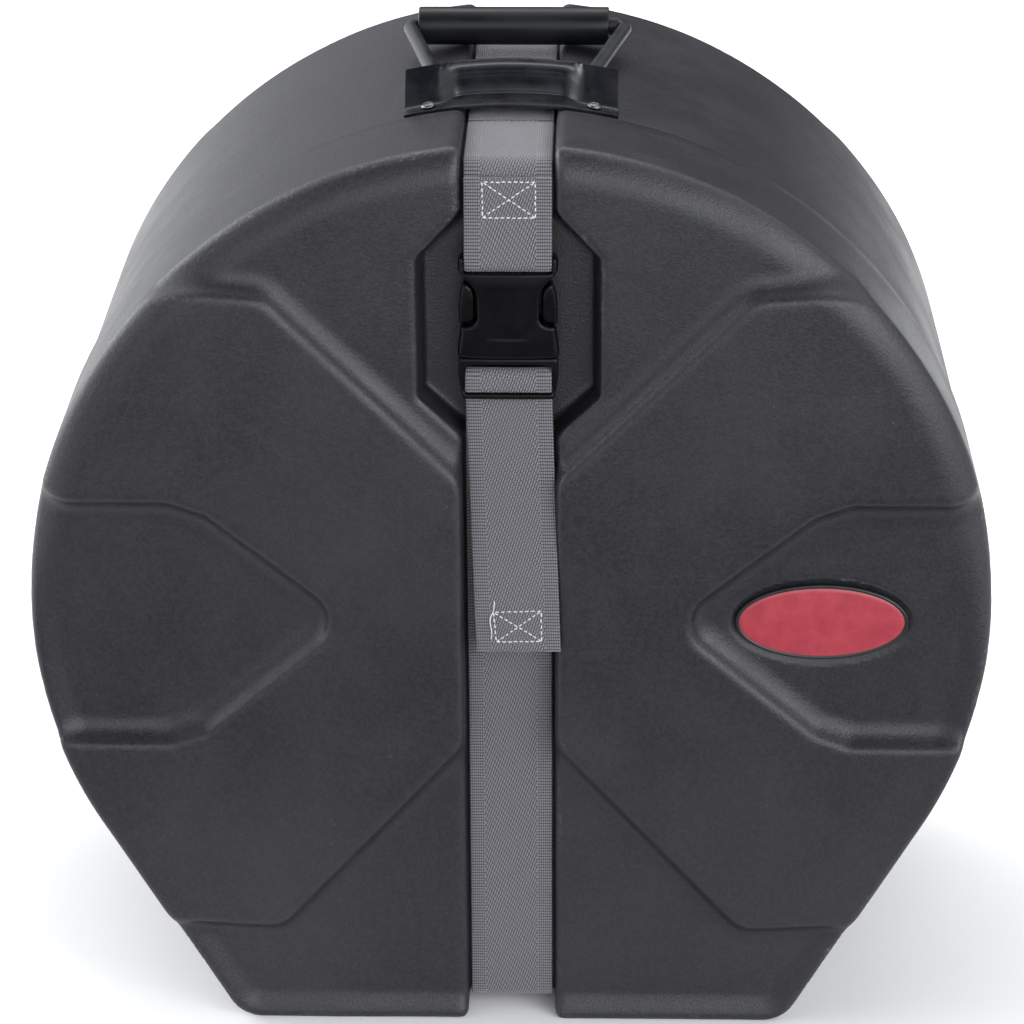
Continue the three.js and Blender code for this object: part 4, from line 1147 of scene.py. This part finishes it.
class Finish:
    """A material under construction."""

    def __init__(self, name, **values):
        self.material = bpy.data.materials.new(name)
        self.material.use_nodes = True
        self.tree = self.material.node_tree
        self.shader = self.tree.nodes["Principled BSDF"]
        for key, value in values.items():
            self.shader.inputs[key.replace("_", " ")].default_value = value
        self.place = self.wire("TexCoord", {}, "Object")

    def wire(self, kind, inputs, output, **settings):
        return Wire(self.tree, add_node(self.tree, kind, inputs, **settings).outputs[output])

    def noise(self, scale, detail=2.0, roughness=0.5, stretch=None):
        place = self.wire("Mapping", {"Vector": self.place, "Scale": stretch}, "Vector") if stretch else self.place
        values = {"Scale": scale, "Detail": detail, "Roughness": roughness, "Vector": place}
        return self.wire("TexNoise", values, "Fac")

    def cells(self, scale, feature="F1"):
        return self.wire("TexVoronoi", {"Scale": scale, "Vector": self.place}, "Distance", feature=feature)

    def attribute(self, name, output="Fac"):
        return self.wire("Attribute", {}, output, attribute_name=name)

    def parts(self, vector):
        """The three numbers of a vector."""
        return [Wire(self.tree, socket) for socket in add_node(self.tree, "SeparateXYZ", {0: vector}).outputs]

    def mix(self, share, low, high):
        """A colour between two, each a colour or a wire."""
        low, high = (end if isinstance(end, Wire) else (*end, 1) for end in (low, high))
        return self.wire("Mix", {"Factor": share, 6: low, 7: high}, 2, data_type="RGBA")

    def feed(self, name, wire):
        self.tree.links.new(wire.socket, self.shader.inputs[name])

    def colour(self, wire):
        self.feed("Base Color", wire)

    def rough(self, wire):
        self.feed("Roughness", wire)

    def finished(self, *bumps):
        """The material, with bumps of (height, distance in millimetres, strength)."""
        normal = {}
        for height, distance, strength in bumps:
            values = {"Distance": mm(distance), "Strength": strength, "Height": height, **normal}
            normal = {"Normal": self.wire("Bump", values, "Normal")}
        self.feed("Normal", normal["Normal"])
        return self.material


def shell_finish():
    """Dark moulded plastic with a fine pebble grain, pale scuffs on its edges and faint smears."""
    f = Finish("moulded_shell", Specular_IOR_Level=0.43)
    wear = f.attribute("wear")
    broad = f.noise(7, 3, 0.55)
    smear = f.noise(26, 5, 0.6, (1, 1, 0.8))
    fine = f.noise(900, 2, 0.6)
    mottle = f.noise(620, 3, 0.75)
    specks = f.cells(230).ramp(0.05, 0.10, 1, 0)
    rub = f.noise(420, 4, 0.7).ramp(0.5, 0.68)
    base = f.mix(broad.ramp(0.3, 0.7), (0.0065, 0.0066, 0.0092), (0.0125, 0.0126, 0.0168))
    base = f.mix(smear.ramp(0.45, 0.8, 0, 0.3), base, (0.021, 0.0212, 0.0275))
    base = f.mix(mottle.ramp(0.35, 0.65, 0, 0.5), base, (0.028, 0.0282, 0.0345))
    base = f.mix(specks * smear.ramp(0.5, 0.7, 0, 0.5), base, (0.15, 0.15, 0.16))
    patch = f.noise(14, 3, 0.6).ramp(0.48, 0.66)
    edge = wear.ramp(0.3, 0.8) * (rub * patch * 0.55 + 0.04)
    base = f.mix(edge, base, (0.17, 0.17, 0.18))
    f.colour(base)
    rough = smear.ramp(0.3, 0.75, 0.38, 0.48) + broad.ramp(0.3, 0.7, -0.03, 0.03)
    f.rough(rough + fine.ramp(0.3, 0.7, -0.04, 0.04))
    grain = f.cells(1050, "SMOOTH_F1")
    return f.finished((f.noise(50, 3, 0.55), 0.22, 0.3), (grain, 0.18, 0.65), (fine, 0.08, 0.4))


TWILL_PITCH, TWILL_FLOAT = mm(1.25, 2.4)
TWILL_LEAN, TWILL_STEP = 0.34, 0.45  # how far a column leans, and how far each one's floats start after the last
BORDER_PITCH = mm(1.05)
BORDER_EDGE = mm(12.6, 13.0)


def webbing_finish():
    """Grey webbing: a leaning twill in the middle and plain-woven borders, with painted shade where the weave lies
    low.
    """
    f = Finish("webbing_weave", Roughness=0.82, Specular_IOR_Level=0.25, Sheen_Weight=0.35, Sheen_Roughness=0.4)
    along, across, over_face = f.parts(f.attribute("lay", "Vector"))
    border = across.math("ABSOLUTE").ramp(*BORDER_EDGE)
    side = over_face.ramp(-HALF_STRAP / 2, HALF_STRAP / 2, -TWILL_LEAN / TWILL_PITCH, TWILL_LEAN / TWILL_PITCH)
    lean = across / TWILL_PITCH - along * side
    float_place = along / TWILL_FLOAT + lean.math("FLOOR") * TWILL_STEP
    twill = lean.weave(1.1) * float_place.weave(0.35)
    plain = (along / PICK).weave(0.9) * (across / BORDER_PITCH).weave(0.6)
    height = twill + (plain - twill) * border
    fibre = f.noise(1400, 3, 0.7)
    tone = f.noise(60, 3, 0.6)
    # Painted shade: the colour darkens where the weave's height is low, between the threads
    base = f.mix(height.ramp(0.05, 0.85), (0.030, 0.029, 0.034), (0.205, 0.198, 0.222))
    base = f.mix(tone.ramp(0.3, 0.75, 0, 0.25), base, (0.128, 0.124, 0.136))
    base = f.mix(fibre.ramp(0.55, 0.8, 0, 0.25), base, (0.36, 0.345, 0.375))
    f.colour(base)
    return f.finished((height, 0.4, 0.85), (fibre, 0.12, 0.4))


def thread_finish():
    f = Finish("stitch_thread", Roughness=0.5, Specular_IOR_Level=0.4, Sheen_Weight=0.2)
    twist = f.noise(2600, 2, 0.5)
    f.colour(f.mix(twist, (0.50, 0.50, 0.54), (0.78, 0.78, 0.82)))
    return f.finished((twist, 0.08, 0.6))


def buckle_finish():
    """Smooth black moulded plastic, faintly mottled."""
    f = Finish("buckle_plastic", Specular_IOR_Level=0.15)
    cloud = f.noise(70, 4, 0.6)
    fine = f.noise(1500, 2, 0.5)
    f.colour(f.mix(cloud.ramp(0.3, 0.75), (0.0014, 0.0015, 0.0019), (0.0030, 0.0032, 0.0040)))
    f.rough(cloud.ramp(0.3, 0.75, 0.17, 0.25))
    return f.finished((cloud, 0.1, 0.15), (fine, 0.02, 0.3))


def plate_finish():
    f = Finish("plate_red", Specular_IOR_Level=0.5, Coat_Weight=0.35, Coat_Roughness=0.22)
    cloud = f.noise(120, 4, 0.6)
    grain = f.noise(1800, 3, 0.6)
    base = f.mix(cloud.ramp(0.3, 0.7), (0.29, 0.020, 0.037), (0.37, 0.030, 0.049))
    f.colour(f.mix(grain.ramp(0.5, 0.8, 0, 0.3), base, (0.42, 0.06, 0.085)))
    f.rough(cloud.ramp(0.3, 0.7, 0.36, 0.46))
    return f.finished((grain, 0.05, 0.3))


def rim_finish():
    f = Finish("plate_rim", Specular_IOR_Level=0.45)
    fine = f.noise(900, 2, 0.5)
    f.colour(f.mix(fine, (0.006, 0.006, 0.007), (0.013, 0.013, 0.015)))
    f.rough(fine.ramp(0.3, 0.7, 0.3, 0.42))
    return f.finished((fine, 0.04, 0.3))


def steel_finish(name, low, high, rough_low, rough_high):
    """Black satin-painted steel with small chips."""
    f = Finish(name, Specular_IOR_Level=0.32)
    cloud = f.noise(90, 4, 0.6)
    orange = f.noise(700, 2, 0.5)
    chips = f.cells(240).ramp(0.03, 0.07, 1, 0) * f.noise(60, 2).ramp(0.55, 0.62)
    base = f.mix(cloud.ramp(0.3, 0.7), low, high)
    f.colour(f.mix(chips, base, (0.32, 0.31, 0.30)))
    f.rough(cloud.ramp(0.3, 0.75, rough_low, rough_high))
    return f.finished((cloud, 0.12, 0.2), (orange, 0.03, 0.35))


def bright_finish():
    f = Finish("plated_screw", Metallic=1.0, Specular_IOR_Level=0.5)
    cloud = f.noise(500, 3, 0.6)
    f.colour(f.mix(cloud.ramp(0.3, 0.7), (0.09, 0.09, 0.088), (0.17, 0.17, 0.165)))
    f.rough(cloud.ramp(0.3, 0.7, 0.24, 0.42))
    return f.finished((cloud, 0.05, 0.25))


def grip_finish(name, low, high, rough_low, rough_high):
    f = Finish(name, Specular_IOR_Level=0.26)
    cloud = f.noise(80, 4, 0.6, (0.4, 1, 1))
    grain = f.cells(1300, "SMOOTH_F1")
    f.colour(f.mix(cloud.ramp(0.3, 0.7), low, high))
    f.rough(cloud.ramp(0.3, 0.75, rough_low, rough_high))
    return f.finished((cloud, 0.3, 0.25), (grain, 0.06, 0.4))


def foam_finish():
    """Closed-cell foam with an open cut face, with painted shade in its pores."""
    f = Finish("lining_foam", Roughness=0.95, Specular_IOR_Level=0.15, Sheen_Weight=0.25)
    pores = f.cells(620, "SMOOTH_F1")
    cloud = f.noise(40, 3, 0.6)
    # Painted shade: the colour is darkest in the pores, where the bump sinks
    base = f.mix(pores.ramp(0.15, 0.6), (0.012, 0.012, 0.014), (0.045, 0.045, 0.05))
    f.colour(f.mix(cloud.ramp(0.35, 0.7, 0, 0.3), base, (0.06, 0.06, 0.066)))
    return f.finished((pores, 0.5, 0.7), (cloud, 0.8, 0.3))


shell = shell_finish()
weave = webbing_finish()
thread = thread_finish()
black = buckle_finish()
hood_paint = steel_finish("hood_paint", (0.0045, 0.0052, 0.0072), (0.009, 0.010, 0.0135), 0.24, 0.34)
wire_paint = steel_finish("wire_paint", (0.008, 0.0085, 0.0105), (0.016, 0.0168, 0.0198), 0.30, 0.40)
bright = bright_finish()
rubber = grip_finish("grip_rubber", (0.0035, 0.004, 0.0055), (0.008, 0.0088, 0.0115), 0.34, 0.46)
sleeve_plastic = grip_finish("sleeve_plastic", (0.008, 0.0085, 0.010), (0.015, 0.0155, 0.018), 0.4, 0.5)
foam = foam_finish()


def dress(piece, *materials):
    """Gives a piece its materials in place of any that it has."""
    piece.data.materials.clear()
    for material in materials:
        piece.data.materials.append(material)


# ---------------------------------------------------------------- what each piece is
PIECES = [  # piece, the body it moves with, the CAD node it stands for, its slot and its materials
    (lid_skin, "lid", "front_shell", "shell", shell),
    (body_skin, "root", "rear_shell", "shell", shell),
    (strap_rear, "root", "strap_rear_run", "webbing", weave),
    (strap_upper, "lid", "strap_upper_run", "webbing", weave),
    (strap_lower, "lid", "strap_lower_run", "webbing", weave),
    (upper_stitches, "lid", None, "webbing", thread),
    (tail_stitches, "lid", None, "webbing", thread),
    (socket, "lid", "buckle_socket", "buckle", black),
    (plug, "lid", "buckle_plug", "buckle", black),
    (prongs[0], "prong_left", "buckle_prong_left", "buckle", black),
    (prongs[1], "prong_right", "buckle_prong_right", "buckle", black),
    (plate, "lid", "oval_plate", "name_plate", plate_finish(), rim_finish()),
    (hood_piece, "root", "handle_hood", "black_steel", hood_paint),
    (saddle_piece, "root", "pivot_saddle", "black_steel", hood_paint),
    (bail_piece, "handle", "handle_bail", "black_steel", wire_paint),
    (grip_piece, "grip", "handle_grip", "grip", rubber),
    (sleeve_piece, "grip", "grip_sleeve", "sleeve", sleeve_plastic),
    (screws[0], "root", "hood_screw_left", "fastener", bright),
    (screws[1], "root", "hood_screw_right", "fastener", bright),
    (foams["lid_foam"], "lid", "front_pad", "foam", foam),
    (foams["rear_foam"], "root", "rear_pad", "foam", foam),
    (foams["arch_foam"], "root", "arch_liner", "foam", foam),
    (foams["wedge_foam_left"], "root", "base_wedge_left", "foam", foam),
    (foams["wedge_foam_right"], "root", "base_wedge_right", "foam", foam),
]
for piece, body, node, slot, *materials in PIECES:
    dress(piece, *materials)
    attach(piece, body)
    if node:
        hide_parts(node)

# The plate's rim and back take its second material
of_rim = np.zeros(len(plate.data.polygons), np.int32)
of_rim[:PLATE_RIM_RINGS * PLATE_STEPS] = of_rim[-2] = 1
plate.data.polygons.foreach_set("material_index", of_rim)

# The washers and nuts inside the case are the CAD's own
for part in ("hood_washer_", "hood_nut_"):
    for _, label in SIDES:
        dress(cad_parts[part + label], bright)

# ---------------------------------------------------------------- floor, light and camera
FLOOR_SIZE = 12.0
# Where the floor's patch of painted shade in front of the case ends: nearest it, farthest from it and at its sides
SHADE_NEAR_Y, SHADE_FAR_Y, SHADE_SIDE_X = (-0.46, -0.15), (-1.9, -1.2), (0.5, 1.0)


def stage_floor():
    """A pale floor with a grey patch of painted shade in front of the case, out of the picture, so that the case
    mirrors a dark floor.
    """
    half = FLOOR_SIZE / 2
    corners = [(-half, -half, 0), (half, -half, 0), (half, half, 0), (-half, half, 0)]
    floor = make_object("studio_floor", corners, [[0, 1, 2, 3]], False)
    f = Finish("studio_paper", Roughness=0.9, Specular_IOR_Level=0.1)
    across, along, _ = f.parts(f.place)
    across = across.math("ABSOLUTE")
    # Painted shade: the floor is dark grey in front of the case, so that the case's front mirrors darkness
    shade = along.ramp(*SHADE_NEAR_Y, 1, 0) * along.ramp(*SHADE_FAR_Y) * across.ramp(*SHADE_SIDE_X, 1, 0)
    paper = f.mix(f.noise(3, 2), (0.90, 0.90, 0.90), (0.93, 0.93, 0.93))
    f.colour(f.mix(shade, paper, (0.24, 0.24, 0.245)))
    dress(floor, f.material)


stage_floor()


def soft_light(name, place, target, size, power, spread):
    data = bpy.data.lights.new(name, "AREA")
    data.shape = "RECTANGLE"
    data.size, data.size_y = size
    data.energy = power
    data.spread = math.radians(spread)
    lamp = bpy.data.objects.new(name, data)
    lamp.location = place
    lamp.rotation_euler = (Vector(target) - Vector(place)).to_track_quat("-Z", "Y").to_euler()
    bpy.context.scene.collection.objects.link(lamp)


soft_light("key_right", (1.35, -1.15, 1.05), (0.05, -0.05, 0.27), (0.8, 0.9), 0.58, 45)
soft_light("floor_wash", (0.0, 1.5, 2.2), (0.0, 1.1, 0.0), (1.6, 1.2), 8, 80)

# Soft panels round the room: azimuth (0 in front, 90 at the right) and elevation in degrees, strength
PANEL_REACH = math.cos(math.radians(42))
LIGHT_PANELS = [
    (252, 8, 6.0), (36, 8, 3.3), (0, 8, 2.0), (135, 42, 0.85), (225, 42, 1.2), (180, 74, 1.0),
    (216, 8, 0.5), (90, 42, 0.6), (288, 26, 1.1), (72, 26, 0.8),
]


def light_room():
    """A world of soft panels, each fading from its middle."""
    world = bpy.data.worlds.new("studio")
    world.use_nodes = True
    tree = world.node_tree
    view = Wire(tree, add_node(tree, "TexCoord", {}).outputs["Generated"])
    total = None
    for azimuth, elevation, strength in LIGHT_PANELS:
        turn, rise = math.radians(azimuth), math.radians(elevation)
        towards = (math.cos(rise) * math.sin(turn), -math.cos(rise) * math.cos(turn), math.sin(rise))
        facing = add_node(tree, "VectorMath", {0: view, 1: towards}, operation="DOT_PRODUCT")
        panel = Wire(tree, facing.outputs["Value"]).ramp(PANEL_REACH, 1, 0, strength)
        total = total + panel if total else panel
    backdrop = tree.nodes["Background"]
    tree.links.new(total.socket, backdrop.inputs["Strength"])
    backdrop.inputs["Color"].default_value = (0.97, 0.98, 1.0, 1)
    bpy.context.scene.world = world


light_room()
bpy.context.scene.view_settings.view_transform = "Standard"

CAMERA_PLACE = Vector((0.0404, -1.6200, 0.9405))
CAMERA_TARGET = Vector((0.0015, -0.136, 0.2796))
CAMERA_ROLL = math.radians(-0.3)
CAMERA_SENSOR, CAMERA_LENS = 36, 122.5
camera_data = bpy.data.cameras.new("photo_camera")
camera_data.sensor_width = CAMERA_SENSOR
camera_data.lens = CAMERA_LENS
camera_data.clip_end = 50
camera = bpy.data.objects.new("photo_camera", camera_data)
forward = (CAMERA_TARGET - CAMERA_PLACE).normalized()
right = forward.cross(Vector((0, 0, 1))).normalized()
over = right.cross(forward)
rolled_right = right * math.cos(CAMERA_ROLL) + over * math.sin(CAMERA_ROLL)
rolled_up = over * math.cos(CAMERA_ROLL) - right * math.sin(CAMERA_ROLL)
turned = Matrix((rolled_right, rolled_up, -forward)).transposed().to_4x4()
camera.matrix_world = Matrix.Translation(CAMERA_PLACE) @ turned
bpy.context.scene.collection.objects.link(camera)
bpy.context.scene.camera = camera
